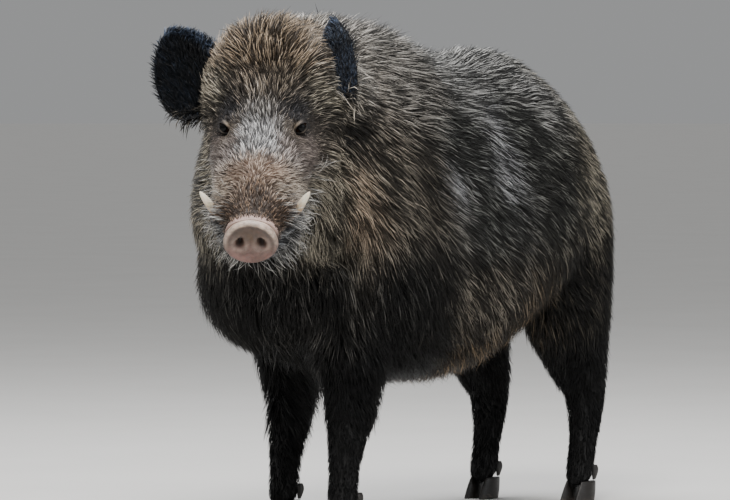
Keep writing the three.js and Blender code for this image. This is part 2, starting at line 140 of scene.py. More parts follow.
# dark hair, pale hair and the share of pale hairs, in linear colour
TINTS = {
    "crown": ((0.022, 0.016, 0.011), (0.66, 0.50, 0.34), 0.42),
    "front": ((0.020, 0.016, 0.013), (0.52, 0.43, 0.33), 0.40),
    "bridge": ((0.070, 0.070, 0.072), (1.0, 0.99, 0.98), 0.66),
    "blaze": ((0.042, 0.038, 0.035), (0.66, 0.62, 0.57), 0.45),
    "rust": ((0.165, 0.098, 0.064), (1.0, 0.82, 0.67), 0.76),
    "snout": ((0.032, 0.019, 0.012), (0.46, 0.31, 0.21), 0.36),
    "muzzle": ((0.105, 0.078, 0.060), (1.0, 0.88, 0.74), 0.74),
    "brow": ((0.007, 0.007, 0.009), (0.12, 0.12, 0.13), 0.14),
    "lid": ((0.030, 0.024, 0.019), (0.26, 0.21, 0.165), 0.40),
    "tear": ((0.060, 0.046, 0.036), (0.50, 0.42, 0.33), 0.55),
    "under": ((0.090, 0.070, 0.062), (0.58, 0.50, 0.45), 0.52),
    "cheek": ((0.034, 0.030, 0.023), (0.78, 0.70, 0.55), 0.50),
    "jowl": ((0.018, 0.015, 0.013), (0.55, 0.49, 0.38), 0.40),
    # edge: near-black hair that paints the shadow in the fold behind the cheek
    "edge": ((0.003, 0.003, 0.003), (0.05, 0.04, 0.03), 0.10),
    # lip: the lip's own dark hair, made blue-grey and darker as painted shade under the snout
    "lip": ((0.024, 0.026, 0.032), (0.66, 0.68, 0.70), 0.33),
    "chin": ((0.008, 0.007, 0.007), (0.34, 0.32, 0.29), 0.16),
    # ear: blue-black hair whose bluish pale tips are a painted sheen
    "ear": ((0.005, 0.007, 0.011), (0.062, 0.084, 0.130), 0.40),
    "mane": ((0.008, 0.007, 0.006), (1.0, 0.94, 0.85), 0.37),
    "neck": ((0.005, 0.004, 0.0035), (0.60, 0.53, 0.43), 0.20),
    "band": ((0.034, 0.023, 0.015), (0.84, 0.64, 0.47), 0.60),
    "back": ((0.004, 0.004, 0.004), (1.0, 0.985, 0.94), 0.33),
    # flank and rear flank: the sides' own dark hair, made darker with fewer pale tips as painted shade down
    # the sides
    "flank": ((0.003, 0.003, 0.003), (0.52, 0.53, 0.49), 0.125),
    "dusk": ((0.002, 0.002, 0.002), (0.46, 0.46, 0.41), 0.07),
    "streak": ((0.008, 0.008, 0.009), (0.96, 0.97, 1.0), 0.40),
    "rump": ((0.004, 0.0035, 0.003), (0.82, 0.74, 0.58), 0.27),
    "thigh": ((0.0012, 0.0012, 0.0012), (0.16, 0.14, 0.11), 0.10),
    "belly": ((0.005, 0.004, 0.003), (0.66, 0.46, 0.26), 0.18),
    # chest: near-black hair whose faint grey tips are partly its own and partly a painted sheen
    "chest": ((0.0010, 0.0010, 0.0012), (0.15, 0.145, 0.135), 0.09),
    "leg": ((0.001, 0.001, 0.0013), (0.03, 0.03, 0.03), 0.10),
}

# tints that hold a narrower patch than their neighbours
NARROW = {"streak": 0.10, "edge": 0.22, "band": 0.32}

# place: where (mm), which way the hair lies, its length and the coat's depth (mm), blades per square
# centimetre, the width of a blade (mm) and the tint. Places off the midline stand on both sides.
HEAD_COAT = {
    "snout top": ((262, 0, 37), (-1, 0, 0.1), 9, 2.5, 12, 1.3, "snout"),
    "snout side": ((245, 46, 0), (-1, 0.3, -0.3), 12, 4, 12, 1.3, "snout"),
    # lip front and lip: their tint is partly painted shade
    "lip front": ((238, 52, -38), (-0.8, 0.5, -0.6), 18, 6, 12, 1.4, "lip"),
    "lip": ((200, 76, -44), (-0.4, 0.7, -0.8), 30, 14, 10, 1.3, "lip"),
    "muzzle": ((205, 0, 43), (-1, 0, 0.15), 14, 4.5, 11, 1.45, "snout"),
    "muzzle edge": ((186, 54, 34), (-0.3, 0.95, -0.1), 17, 5.5, 12, 1.35, "muzzle"),
    "muzzle side": ((165, 76, 5), (-0.6, 0.6, -0.4), 28, 13, 10, 1.45, "muzzle"),
    "patch": ((155, 0, 45), (-0.9, 0, 0.2), 15, 5, 12, 1.35, "rust"),
    "patch side": ((162, 27, 42), (-0.4, 0.9, 0), 15, 4.5, 12, 1.35, "rust"),
    "bridge": ((92, 0, 48), (-1, 0, 0.2), 20, 6, 11, 1.4, "bridge"),
    "bridge edge": ((98, 20, 46), (-0.9, 0.35, 0.15), 20, 6, 11, 1.4, "bridge"),
    "bridge top": ((62, 19, 50), (-0.9, 0.3, 0.2), 22, 7, 11, 1.4, "bridge"),
    "bridge side": ((85, 44, 36), (-0.75, 0.6, 0.1), 20, 5, 11, 1.4, "under"),
    "forehead": ((22, 0, 57), (-0.95, 0, 0.3), 27, 8, 11, 1.5, "blaze"),
    "front": ((-22, 0, 66), (-0.85, 0, 0.45), 34, 15, 11, 1.5, "front"),
    "front side": ((-18, 42, 66), (-0.7, 0.55, 0.4), 32, 14, 11, 1.5, "front"),
    "brow": ((5, 54, 33), (-0.6, 0.7, 0.4), 16, 4, 12, 1.2, "brow"),
    "brow side": ((-4, 82, 30), (-0.6, 0.75, 0.2), 16, 4, 12, 1.2, "brow"),
    "lid": ((10, 82, 8), (-0.6, 0.75, 0.2), 6, 1, 12, 0.9, "lid"),
    "lid under": ((36, 72, -8), (-0.5, 0.7, -0.4), 8, 2, 13, 1.1, "under"),
    "tear": ((42, 47, 22), (-0.5, 0.6, -0.4), 7, 1.5, 13, 1.0, "tear"),
    "cheekbone": ((70, 80, -14), (-0.65, 0.5, -0.5), 22, 6, 11, 1.4, "under"),
    "crown": ((-65, 0, 96), (-0.75, 0, 0.65), 46, 30, 10, 1.6, "crown"),
    "crown back": ((-125, 0, 126), (-0.8, 0, 0.6), 62, 44, 10, 1.6, "crown"),
    "crown side": ((-90, 66, 90), (-0.65, 0.65, 0.45), 46, 27, 10, 1.6, "crown"),
    "temple": ((-45, 92, 28), (-0.6, 0.75, 0.1), 38, 14, 8, 2.0, "cheek"),
    "jowl": ((5, 104, -70), (-0.5, 0.4, -0.8), 46, 16, 7, 2.1, "cheek"),
    "jowl front": ((80, 86, -66), (-0.5, 0.5, -0.75), 38, 13, 8, 1.9, "cheek"),
    "jowl under": ((25, 84, -150), (-0.4, 0.2, -1), 54, 20, 6, 2.3, "jowl"),
    # painted shadow: a dark line along the cheek's rear edge
    "cheek edge": ((-70, 108, -60), (-0.6, 0.3, -0.8), 48, 10, 7, 2.2, "edge"),
    "jaw side": ((150, 76, -90), (-0.4, 0.5, -0.85), 36, 17, 9, 1.45, "jowl"),
    "chin side": ((205, 56, -90), (-0.5, 0.5, -0.8), 28, 13, 9, 1.4, "chin"),
    "chin": ((215, 0, -104), (-0.9, 0, -0.5), 18, 5, 9, 1.4, "chin"),
    "jaw under": ((110, 0, -150), (-0.9, 0, -0.5), 30, 8, 7, 2.0, "chin"),
    "throat": ((20, 0, -195), (-0.5, 0, -1), 66, 28, 4.5, 2.8, "chest"),
}
BODY_COAT = {
    "mane": ((0, -60, 900), (0, 0.9, 0.25), 86, 43, 6.0, 2.2, "mane"),
    "neck top": ((24, -250, 900), (-0.1, 0.9, 0.3), 78, 40, 6.0, 2.2, "mane"),
    "nape": ((44, -345, 895), (-0.2, 0.8, 0.45), 72, 37, 6.6, 2.0, "crown"),
    "withers": ((0, 60, 865), (0, 0.95, 0), 80, 34, 5.0, 2.4, "back"),
    "back": ((0, 190, 838), (0, 1, -0.05), 52, 24, 5.0, 2.4, "back"),
    "loin": ((0, 300, 848), (0, 1, -0.1), 46, 20, 5.0, 2.4, "back"),
    "croup": ((0, 430, 812), (0, 0.85, -0.45), 42, 18, 5.4, 2.0, "rump"),
    "rump": ((0, 545, 730), (0, 0.5, -0.85), 40, 16, 5.4, 2.0, "rump"),
    "rump side": ((95, 560, 640), (0.1, 0.35, -0.95), 38, 15, 5.4, 2.0, "rump"),
    "back side": ((130, 60, 790), (0.15, 0.9, -0.35), 62, 24, 5.0, 2.4, "back"),
    "loin side": ((130, 300, 775), (0.1, 0.85, -0.45), 44, 18, 5.0, 2.4, "back"),
    "shoulder top": ((140, -110, 800), (0.1, 0.8, -0.5), 70, 30, 5.0, 2.4, "mane"),
    "shoulder": ((195, -150, 620), (0, 0.6, -0.8), 60, 22, 5.4, 1.9, "neck"),
    "shoulder low": ((170, -180, 430), (0, 0.35, -0.95), 54, 18, 5.0, 2.2, "chest"),
    "streak high": ((174, 112, 748), (0.1, 0.55, -0.8), 52, 22, 6.0, 1.7, "streak"),
    "streak middle": ((198, 122, 672), (0.1, 0.45, -0.85), 50, 20, 6.0, 1.7, "streak"),
    "streak low": ((212, 96, 606), (0, 0.6, -0.8), 50, 18, 6.0, 1.7, "streak"),
    "streak fore": ((214, -64, 628), (0, 0.6, -0.8), 52, 20, 6.0, 1.7, "streak"),
    # partly painted shade: the flank tints keep the sides darker than their hair
    "dark side": ((176, 215, 700), (0.1, 0.75, -0.65), 40, 16, 5.4, 1.9, "flank"),
    "dark shoulder": ((196, -10, 710), (0.1, 0.8, -0.6), 46, 20, 5.4, 1.9, "flank"),
    "flank": ((220, 60, 570), (0, 0.75, -0.65), 42, 17, 5.4, 1.9, "flank"),
    # painted shade on the rear flank, over its own dark hair
    "flank rear": ((205, 290, 620), (0, 0.75, -0.6), 40, 16, 5.4, 1.9, "dusk"),
    "ribs low": ((200, 60, 400), (0, 0.55, -0.8), 46, 19, 5.4, 1.9, "neck"),
    "belly side": ((140, 60, 300), (0, 0.5, -0.9), 72, 32, 5.4, 2.0, "belly"),
    "belly": ((0, 80, 262), (0, 0.7, -0.7), 76, 36, 4.8, 2.0, "belly"),
    "groin": ((110, 270, 350), (0, 0.35, -0.9), 74, 28, 5.4, 2.0, "belly"),
    "fore belly": ((0, -110, 280), (0, 0.5, -0.9), 70, 30, 4.4, 2.3, "chest"),
    "brisket": ((0, -240, 330), (0, 0.4, -0.9), 84, 36, 5.0, 2.3, "chest"),
    "breast": ((30, -360, 460), (0, 0, -1), 84, 34, 5.0, 2.3, "chest"),
    "neck side": ((205, -245, 640), (0, 0.65, -0.75), 70, 26, 5.4, 1.9, "neck"),
    "cheek back": ((176, -372, 620), (0.1, 0.45, -0.9), 44, 16, 8.4, 1.7, "cheek"),
    "cheek low": ((160, -368, 520), (0.1, 0.3, -0.95), 48, 18, 8.4, 1.7, "cheek"),
    "crease high": ((184, -338, 680), (0.2, 0.5, -0.8), 50, 16, 6, 2.0, "neck"),
    # painted shadow: near-black hair in the crease behind the cheek
    "crease": ((184, -356, 610), (0.1, 0.4, -0.9), 50, 10, 6, 2.0, "edge"),
    "crease low": ((180, -344, 530), (0, 0.3, -0.95), 52, 12, 6, 2.0, "edge"),
    "band high": ((190, -326, 640), (0, 0.5, -0.85), 60, 22, 7.2, 1.7, "band"),
    "band": ((194, -325, 570), (0, 0.3, -0.95), 62, 22, 7.2, 1.7, "band"),
    "neck upper": ((120, -330, 790), (0.2, 0.8, -0.5), 72, 28, 6.0, 1.9, "mane"),
    "neck low": ((130, -340, 460), (0, 0.3, -0.95), 74, 28, 5.0, 2.2, "chest"),
    "haunch": ((170, 440, 600), (0, 0.55, -0.85), 38, 14, 5.4, 1.9, "rump"),
    "thigh": ((170, 430, 420), (0, 0.35, -0.95), 42, 12, 5.0, 2.2, "thigh"),
    "thigh rear": ((120, 590, 440), (0, 0.2, -1), 48, 14, 5.0, 2.2, "thigh"),
    "thigh inner": ((25, 470, 400), (0, 0.3, -0.9), 40, 12, 4.4, 2.2, "thigh"),
    "gaskin": ((98, 500, 290), (0, 0.35, -1), 42, 11, 3.9, 2.2, "leg"),
    "hock": ((98, 530, 200), (0, 0.15, -1), 24, 6, 4.7, 2.0, "leg"),
    "hind shank": ((98, 520, 110), (0, 0.1, -1), 18, 4, 5.5, 1.8, "leg"),
    "hind foot": ((98, 512, 40), (0, 0.1, -1), 16, 3, 5.5, 1.6, "leg"),
    "upper arm": ((150, -190, 350), (0, 0.35, -0.95), 56, 18, 3.9, 2.4, "leg"),
    "elbow": ((105, -85, 330), (0, 0.7, -0.8), 84, 26, 5.4, 2.2, "leg"),
    "arm rear": ((100, -130, 240), (0, 0.6, -0.85), 56, 16, 5.4, 2.0, "leg"),
    "forearm": ((100, -215, 260), (0, 0.3, -1), 38, 10, 4.7, 2.2, "leg"),
    "knee": ((97, -205, 180), (0, 0.15, -1), 22, 5, 4.7, 2.0, "leg"),
    "fore shank": ((97, -228, 100), (0, 0.1, -1), 16, 4, 5.5, 1.8, "leg"),
    "fore foot": ((97, -235, 40), (0, 0.1, -1), 16, 3, 5.5, 1.6, "leg"),
    "tail root": ((0, 625, 665), (0, 0.5, -0.9), 34, 9, 7.2, 1.9, "rump"),
    "tail": ((-6, 664, 550), (0, 0, -1), 30, 5, 4.7, 2.0, "leg"),
    "tail tip": ((-12, 657, 420), (0, 0, -1), 60, 8, 6.2, 2.0, "leg"),
}


def coat_places():
    """Every place of the coat, on both sides, in the whole frame: where it is, its values and its pull."""
    where, values, pull = [], [], []
    for table, place, turn in ((HEAD_COAT, from_head, HEAD_AXES), (BODY_COAT, None, np.eye(3))):
        for at, lie, length, depth, count, width, tint in table.values():
            dark, pale, share = TINTS[tint]
            for side in (1, -1) if at[1 if place else 0] else (1,):
                mirror = np.array((1, side, 1) if place else (side, 1, 1))
                point = np.array(at, float) * mirror
                where.append(place(point) if place else point * MM + (MIDLINE, 0, 0))
                way = turn @ (np.array(lie, float) * mirror)
                values.append([*unit(way), length * MM, depth * MM, count, width * MM, *dark, *pale, share])
                pull.append(NARROW.get(tint, 1.0))
    return np.array(where), np.array(values), np.array(pull)


WHERE, VALUES, PULL = coat_places()
EYE = {name: np.array(middle(f"eye_{name}")) for name in SIDES}


def coat_at(points):
    """The coat's values at each point, blended from the nearest places."""
    gap = ((points[:, None, :] - WHERE[None]) ** 2).sum(-1) + 0.012**2
    weight = gap**-2.5 * PULL
    values = weight @ VALUES / weight.sum(1, keepdims=True)
    names = ("lie", 0, 3), ("length", 3), ("depth", 4), ("count", 5), ("width", 6)
    coat = {name: values[:, at[0]] if len(at) == 1 else values[:, at[0]:at[1]] for name, *at in names}
    coat.update(dark=values[:, 7:10], pale=values[:, 10:13], share=values[:, 13])
    # wrinkles across the snout, as stripes of paler hair
    a, b, c = in_head(points).T
    furrow = np.sin((a + 5 * np.cos(b / 16)) / 1.8) * ease(135, 165, a) * ease(290, 270, a) * ease(5, 30, c)
    coat["share"] = coat["share"] * (1 + 0.5 * furrow)
    for side in SIDES:
        away = points - EYE[side]
        distance = np.linalg.norm(away, axis=1)
        coat["lie"] = coat["lie"] + unit(away) * (1.6 * bell(distance, 0.019))[:, None]
        coat["length"] = coat["length"] * (0.45 + 0.55 * ease(0.014, 0.034, distance))
    return coat


# ------------------------------------------------------------------ materials


class Value:
    """The value of a node's socket, so that shader maths reads as maths."""

    def __init__(self, paint, socket):
        self.paint, self.socket = paint, socket

    def maths(self, operation, *others):
        """The result of one maths node."""
        inputs = dict(enumerate((self, *others)))
        return self.paint.node("ShaderNodeMath", {"operation": operation}, inputs)["Value"]

    def __add__(self, other):
        return self.maths("ADD", other)

    def __radd__(self, other):
        return self.maths("ADD", other)

    def __mul__(self, other):
        return self.maths("MULTIPLY", other)

    def __rsub__(self, other):
        return (self * -1) + other

    def clamped(self, low, high):
        """0 at low, 1 at high and smooth between."""
        inputs = {"Value": self, "From Min": low, "From Max": high}
        settings = {"interpolation_type": "SMOOTHSTEP"}
        return self.paint.node("ShaderNodeMapRange", settings, inputs)["Result"]


class Paint:
    """A material that is built node by node around one Principled shader."""

    def __init__(self, name, **constants):
        self.material = bpy.data.materials.new(name)
        self.material.use_nodes = True
        self.nodes = self.material.node_tree.nodes
        self.links = self.material.node_tree.links
        self.shader = self.nodes["Principled BSDF"]
        for socket, value in constants.items():
            self.shader.inputs[socket.replace("_", " ")].default_value = value
        self.place = self.node("ShaderNodeTexCoord")["Object"]

    def node(self, kind, settings=None, inputs=None):
        """A new node's outputs by name, with its settings made before its inputs are given."""
        made = self.nodes.new(kind)
        for name, setting in (settings or {}).items():
            setattr(made, name, setting)
        for key, value in (inputs or {}).items():
            self.feed(made.inputs[key], value)
        return {socket.name: Value(self, socket) for socket in made.outputs if socket.enabled}

    def feed(self, socket, value):
        """Links or sets one socket."""
        if isinstance(value, Value):
            self.links.new(value.socket, socket)
        else:
            socket.default_value = value

    def mix(self, factor, low, high, blend="MIX"):
        """One colour between two, or two colours blended."""
        made = self.nodes.new("ShaderNodeMix")
        made.data_type, made.blend_type = "RGBA", blend
        colours = [socket for socket in made.inputs if socket.type == "RGBA"]
        factors = [socket for socket in made.inputs if socket.name == "Factor" and socket.type == "VALUE"]
        for socket, value in ((factors[0], factor), (colours[0], low), (colours[1], high)):
            self.feed(socket, (*value, 1) if isinstance(value, tuple) and len(value) == 3 else value)
        return Value(self, next(socket for socket in made.outputs if socket.type == "RGBA"))

    def noise(self, scale, detail, stretch=None, rough=0.5):
        """Smooth noise from 0 to 1 at a number of lumps to the metre."""
        where = self.place
        if stretch:
            where = self.node("ShaderNodeMapping", None, {"Vector": where, "Scale": stretch})["Vector"]
        inputs = {"Vector": where, "Scale": scale, "Detail": detail, "Roughness": rough}
        return self.node("ShaderNodeTexNoise", None, inputs)["Fac"]

    def attribute(self, name):
        """An attribute's colour."""
        return self.node("ShaderNodeAttribute", {"attribute_name": name})["Color"]

    def bump(self, height, distance, strength):
        """Feeds the shader's normal with a height in metres times a strength."""
        inputs = {"Height": height, "Distance": distance, "Strength": strength}
        self.feed(self.shader.inputs["Normal"], self.node("ShaderNodeBump", None, inputs)["Normal"])

    def set(self, **inputs):
        """Feeds the shader's own sockets."""
        for socket, value in inputs.items():
            self.feed(self.shader.inputs[socket.replace("_", " ")], value)
        return self


def coat_paint():
    """Wet-looking coarse hair: its colour runs along each blade and is given by the coat's places."""
    paint = Paint("boar_coat", Specular_IOR_Level=0.25)
    shade = paint.noise(9, 4) * 0.5 + 0.75
    colour = paint.mix(1.0, paint.attribute("coat"), paint.node("ShaderNodeCombineColor", None, {
        "Red": shade, "Green": shade, "Blue": shade})["Color"], "MULTIPLY")
    return paint.set(Base_Color=colour, Roughness=paint.noise(60, 2) * 0.25 + 0.28).material


def skin_paint():
    """The skin between the hairs, in the coat's own markings, with pores and creases."""
    paint = Paint("boar_skin", Specular_IOR_Level=0.35)
    lumps = paint.noise(420, 3)
    colour = paint.mix(lumps * 0.6, paint.attribute("coat"), (0.006, 0.005, 0.005))
    paint.bump(lumps + paint.noise(1400, 2) * 0.5, 0.0012, 0.8)
    return paint.set(Base_Color=colour, Roughness=paint.noise(90, 2) * 0.2 + 0.5).material


def nose_paint():
    """Bare nose skin: pinkish brown, moist, with a pale rim and nostrils darkened as painted shade."""
    paint = Paint("boar_nose", Specular_IOR_Level=0.55, Subsurface_Weight=0.08, Subsurface_Scale=0.004)
    cells = paint.node("ShaderNodeTexVoronoi", {"feature": "DISTANCE_TO_EDGE"}, {
        "Vector": paint.place, "Scale": 430.0})["Distance"]
    shade = paint.noise(90, 5, rough=0.65).clamped(0.35, 0.7)
    colour = paint.mix(shade * 0.6, paint.attribute("coat"), (0.075, 0.05, 0.042))
    paint.bump(cells.clamped(0, 0.18) * 0.4 + paint.noise(260, 4), 0.0008, 0.6)
    return paint.set(Base_Color=colour, Roughness=paint.noise(200, 2) * 0.25 + 0.25).material


def eye_paint(at, look):
    """A dark brown eye: a wide black pupil in a brown iris, under a wet cornea."""
    paint = Paint(
        "boar_eye", Roughness=0.07, Coat_Weight=0.04, Coat_Roughness=0.02, Specular_IOR_Level=0.13)
    toward = paint.node("ShaderNodeVectorMath", {"operation": "SUBTRACT"}, {0: paint.place, 1: at})
    along = paint.node("ShaderNodeVectorMath", {"operation": "DOT_PRODUCT"}, {0: toward["Vector"], 1: look})
    out = along["Value"] * (1 / (EYE_RADIUS * MM))
    iris = paint.mix(paint.noise(900, 3), (0.010, 0.0045, 0.002), (0.026, 0.012, 0.006))
    colour = paint.mix(out.clamped(0.86, 0.80), (0.002, 0.002, 0.002), iris)
    colour = paint.mix(out.clamped(0.45, 0.35), colour, (0.030, 0.018, 0.015))
    return paint.set(Base_Color=colour).material


def tusk_paint():
    """Ivory: creamy at the worn tip, yellow brown at the root, with fine lines along it."""
    paint = Paint("boar_tusk", Specular_IOR_Level=0.55, Subsurface_Weight=0.1, Subsurface_Scale=0.004)
    lines = paint.noise(260, 3, stretch=(1, 1, 0.15))
    ivory = paint.mix(lines, (0.86, 0.81, 0.69), (0.66, 0.56, 0.39))
    colour = paint.mix(paint.attribute("coat"), ivory, (0.33, 0.19, 0.075))
    paint.bump(lines, 0.0006, 0.5)
    return paint.set(Base_Color=colour, Roughness=lines * 0.2 + 0.22).material


def horn_paint():
    """Worn dark horn with growth rings, scuffed paler near the ground."""
    paint = Paint("boar_horn", Specular_IOR_Level=0.45)
    height = paint.node("ShaderNodeSeparateXYZ", None, {"Vector": paint.place})["Z"]
    scuff = paint.noise(160, 4) * (1 - height.clamped(0.0, 0.035))
    rings = paint.noise(60, 3, stretch=(1, 1, 9))
    colour = paint.mix(rings, (0.007, 0.006, 0.0055), (0.022, 0.018, 0.015))
    colour = paint.mix(scuff.clamped(0.35, 0.75), colour, (0.075, 0.06, 0.048))
    paint.bump(rings + scuff, 0.0012, 0.7)
    return paint.set(Base_Color=colour, Roughness=0.35 + scuff * 0.4).material


def floor_paint():
    """A pale matt floor."""
    paint = Paint("studio_floor", Roughness=0.9, Specular_IOR_Level=0.2)
    colour = paint.mix(paint.noise(3, 4), (0.60, 0.59, 0.57), (0.66, 0.65, 0.63))
    return paint.set(Base_Color=colour).material


# ------------------------------------------------------------------ meshes


def added(name, mesh, material, slot=None, *nodes):
    """A finished object that rides with the boar, and stands for frame nodes if any are named."""
    piece = bpy.data.objects.new(name, mesh)
    bpy.context.scene.collection.objects.link(piece)
    mesh.materials.clear()
    mesh.materials.append(material)
    if slot:
        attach(piece, "root")
        if nodes:
            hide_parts(*nodes)
    return piece


def node_copy(*names):
    """The named frame nodes as one bmesh, with loose triangles merged."""
    shape = bmesh.new()
    for name in names:
        shape.from_mesh(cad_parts[name].data)
    bmesh.ops.remove_doubles(shape, verts=shape.verts, dist=1e-5)
    return shape


def mesh_from(shape, name):
    """A bmesh as a smooth mesh."""
    mesh = bpy.data.meshes.new(name)
    shape.to_mesh(mesh)
    shape.free()
    mesh.shade_smooth()
    return mesh


def spots(mesh):
    """A mesh's vertices as an array."""
    at = np.empty(len(mesh.vertices) * 3)
    mesh.vertices.foreach_get("co", at)
    return at.reshape(-1, 3)


def facing(mesh):
    """A mesh's vertex normals as an array."""
    out = np.empty(len(mesh.vertices) * 3)
    mesh.vertex_normals.foreach_get("vector", out)
    return out.reshape(-1, 3)


def moved(mesh, at):
    """Puts a mesh's vertices at new places."""
    mesh.vertices.foreach_set("co", np.ascontiguousarray(at, np.float32).ravel())
    mesh.update()


def coloured(mesh, colours):
    """Stores one colour for each vertex, under the name that the materials read."""
    layer = mesh.attributes.get("coat") or mesh.attributes.new("coat", "FLOAT_COLOR", "POINT")
    full = np.ones((len(colours), 4), np.float32)
    full[:, :3] = colours
    layer.data.foreach_set("color", full.ravel())


def smoother(mesh):
    """A function that averages values over each vertex's neighbours."""
    pairs = np.empty(len(mesh.edges) * 2, np.int32)
    mesh.edges.foreach_get("vertices", pairs)
    one, two = pairs.reshape(-1, 2).T
    count = len(mesh.vertices)
    near = np.maximum(np.bincount(one, minlength=count) + np.bincount(two, minlength=count), 1)

    def average(values, times=1, share=0.5):
        """Values drawn towards their neighbours' mean, a number of times."""
        values = values.reshape(count, -1)
        for _ in range(times):
            total = np.stack([
                np.bincount(one, column[two], count) + np.bincount(two, column[one], count)
                for column in values.T
            ], 1)
            values = values + share * (total / near[:, None] - values)
        return values

    return average


# ------------------------------------------------------------------ skin

FLESH = (
    "head", "snout", "jaw", "neck", "shoulders", "barrel", "rump", "tail",
    "foreleg_left", "foreleg_right", "hindleg_left", "hindleg_right",
    "forefoot_left", "forefoot_right", "hindfoot_left", "hindfoot_right",
)
EYE_RADIUS = 12.5
LID_HALF_WIDTH = 11.8
LID_CURVE = 0.0235  # how far the fold above the lid drops towards the corners
NOSE_TILT = math.radians(10)
NOSE_AHEAD = 289  # the nose disc's place along the head
SKIN_DEPTH = 0.88  # the skin's depth, as a share of the coat's
SINK_STEPS = 6


def ear_axis(name):
    """The root and the tip of an ear, from the frame's node."""
    at = spots(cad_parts[f"ear_{name}"].data)
    local = in_head(at)
    root = at[local[:, 0] > np.quantile(local[:, 0], 0.93)].mean(0)
    far = np.linalg.norm(at - root, axis=1)
    tip = at[far > far.max() - 0.006].mean(0)
    return root, tip


EARS = {name: ear_axis(name) for name in SIDES}


def flesh_volume(voxel):
    """All flesh as one closed grid of even faces, with the roots of the ears."""
    shape = node_copy(*FLESH)
    for name in SIDES:
        root, tip = EARS[name]
        stub = node_copy(f"ear_{name}")
        cut = bmesh.ops.bisect_plane(
            stub, geom=[*stub.verts, *stub.edges, *stub.faces],
            plane_co=Vector(root + 0.2 * (tip - root)), plane_no=Vector(tip - root), clear_outer=True,
        )["geom_cut"]
        bmesh.ops.holes_fill(stub, edges=[edge for edge in cut if isinstance(edge, bmesh.types.BMEdge)])
        held = mesh_from(stub, "stub")
        shape.from_mesh(held)
        bpy.data.meshes.remove(held)
    whole = bpy.data.objects.new("flesh", mesh_from(shape, "flesh"))
    bpy.context.scene.collection.objects.link(whole)
    remesh = whole.modifiers.new("one skin", "REMESH")
    remesh.mode = "VOXEL"
    remesh.voxel_size = voxel
    evaluated = whole.evaluated_get(bpy.context.evaluated_depsgraph_get())
    mesh = bpy.data.meshes.new_from_object(evaluated)
    bpy.data.objects.remove(whole)
    return mesh


def refined(mesh, inside):
    """The mesh with each face divided in four where the function inside says so."""
    chosen = inside(in_head(spots(mesh)))
    shape = bmesh.new()
    shape.from_mesh(mesh)
    shape.verts.ensure_lookup_table()
    edges = [edge for edge in shape.edges if chosen[edge.verts[0].index] and chosen[edge.verts[1].index]]
    bmesh.ops.subdivide_edges(shape, edges=edges, cuts=1, use_grid_fill=True, smooth=0.0)
    bmesh.ops.triangulate(shape, faces=[face for face in shape.faces if len(face.verts) > 4])
    shape.to_mesh(mesh)
    shape.free()
    return mesh


def sunk(mesh):
    """The flesh drawn in by the coat's depth, in small steps that keep it smooth."""
    average = smoother(mesh)
    at = average(spots(mesh), 3)
    for _ in range(SINK_STEPS):
        moved(mesh, at)
        out = unit(average(facing(mesh), 2))
        depth = coat_at(at)["depth"]
        near_ear = np.min([
            np.linalg.norm(at - (root + 0.25 * (tip - root)), axis=1) for root, tip in EARS.values()
        ], axis=0)
        depth = SKIN_DEPTH * depth * (0.25 + 0.75 * ease(0.045, 0.09, near_ear))
        at = average(at - out * depth[:, None] / SINK_STEPS, 1, 0.35)
    moved(mesh, average(at, 2))
    return mesh


def eye_axes(side):
    """An eye's own axes in the head's frame: the way it looks, towards its outer corner, and up."""
    look = unit(np.array((0.76, 0.38 * side, 0.53)))
    corner = np.array((-0.50, 0.74 * side, 0.36))
    corner = unit(corner - look * (corner @ look))
    up = np.cross(look, corner) * side
    return look, corner, up * np.sign(up[2])


def sculpted_eyes(local):
    """Lids, brow and inner corner around each eye, on points in the head's frame."""
    for name, side in SIDES.items():
        centre = in_head(EYE[name][None])[0]
        look, corner, up = eye_axes(side)
        away = local - centre
        across, height, ahead = away @ corner, away @ up, away @ look
        far = np.hypot(across, height)
        near = (far < 26) & (ahead > -18)
        ball = np.sqrt(np.maximum(EYE_RADIUS**2 - far**2, 0))
        # the almond between the lids, with its upper and its lower edge
        slit = np.clip(1 - (across / LID_HALF_WIDTH) ** 2, 0, 1) ** 0.7 * (1 - across / 55)
        over, under = 6.8 * slit - 0.3, -5.4 * slit + 0.2
        inside = np.where(height > 0.3, over - height, height - under)
        beside = LID_HALF_WIDTH - np.abs(across)
        inside = np.where(beside > 0, inside, np.minimum(inside, beside))
        opening = ease(-0.5, 0.5, inside)
        # the lids lie on the ball, thicker at their edges, with a fold above them
        lid = np.sqrt(np.maximum((EYE_RADIUS + 1.3) ** 2 - np.minimum(far, 13) ** 2, 0))
        lid = lid + 1.1 * bell(inside + 1.4, 1.2) - 0.9 * bell(inside + 4.2, 1.2)
        skin = ahead + (lid - ahead) * ease(22, 11, far)
        skin = skin + 2.0 * bell(height - 9.8 + LID_CURVE * across**2, 1.5) * ease(24, 19, far)
        goal = skin * (1 - opening) + (ball - 3) * opening
        brow = bell(height - 19, 6) * bell(across + 1, 16)
        tear = bell(across + 17, 5) * bell(height + 4 + 0.4 * (across + 17), 2.6)
        front = ease(-18, -8, ahead) * ease(40, 30, far)
        rise = np.where(near, goal - ahead, 0) + front * (brow * 4.0 - tear * 2.0)
        local = local + rise[:, None] * look
    return local


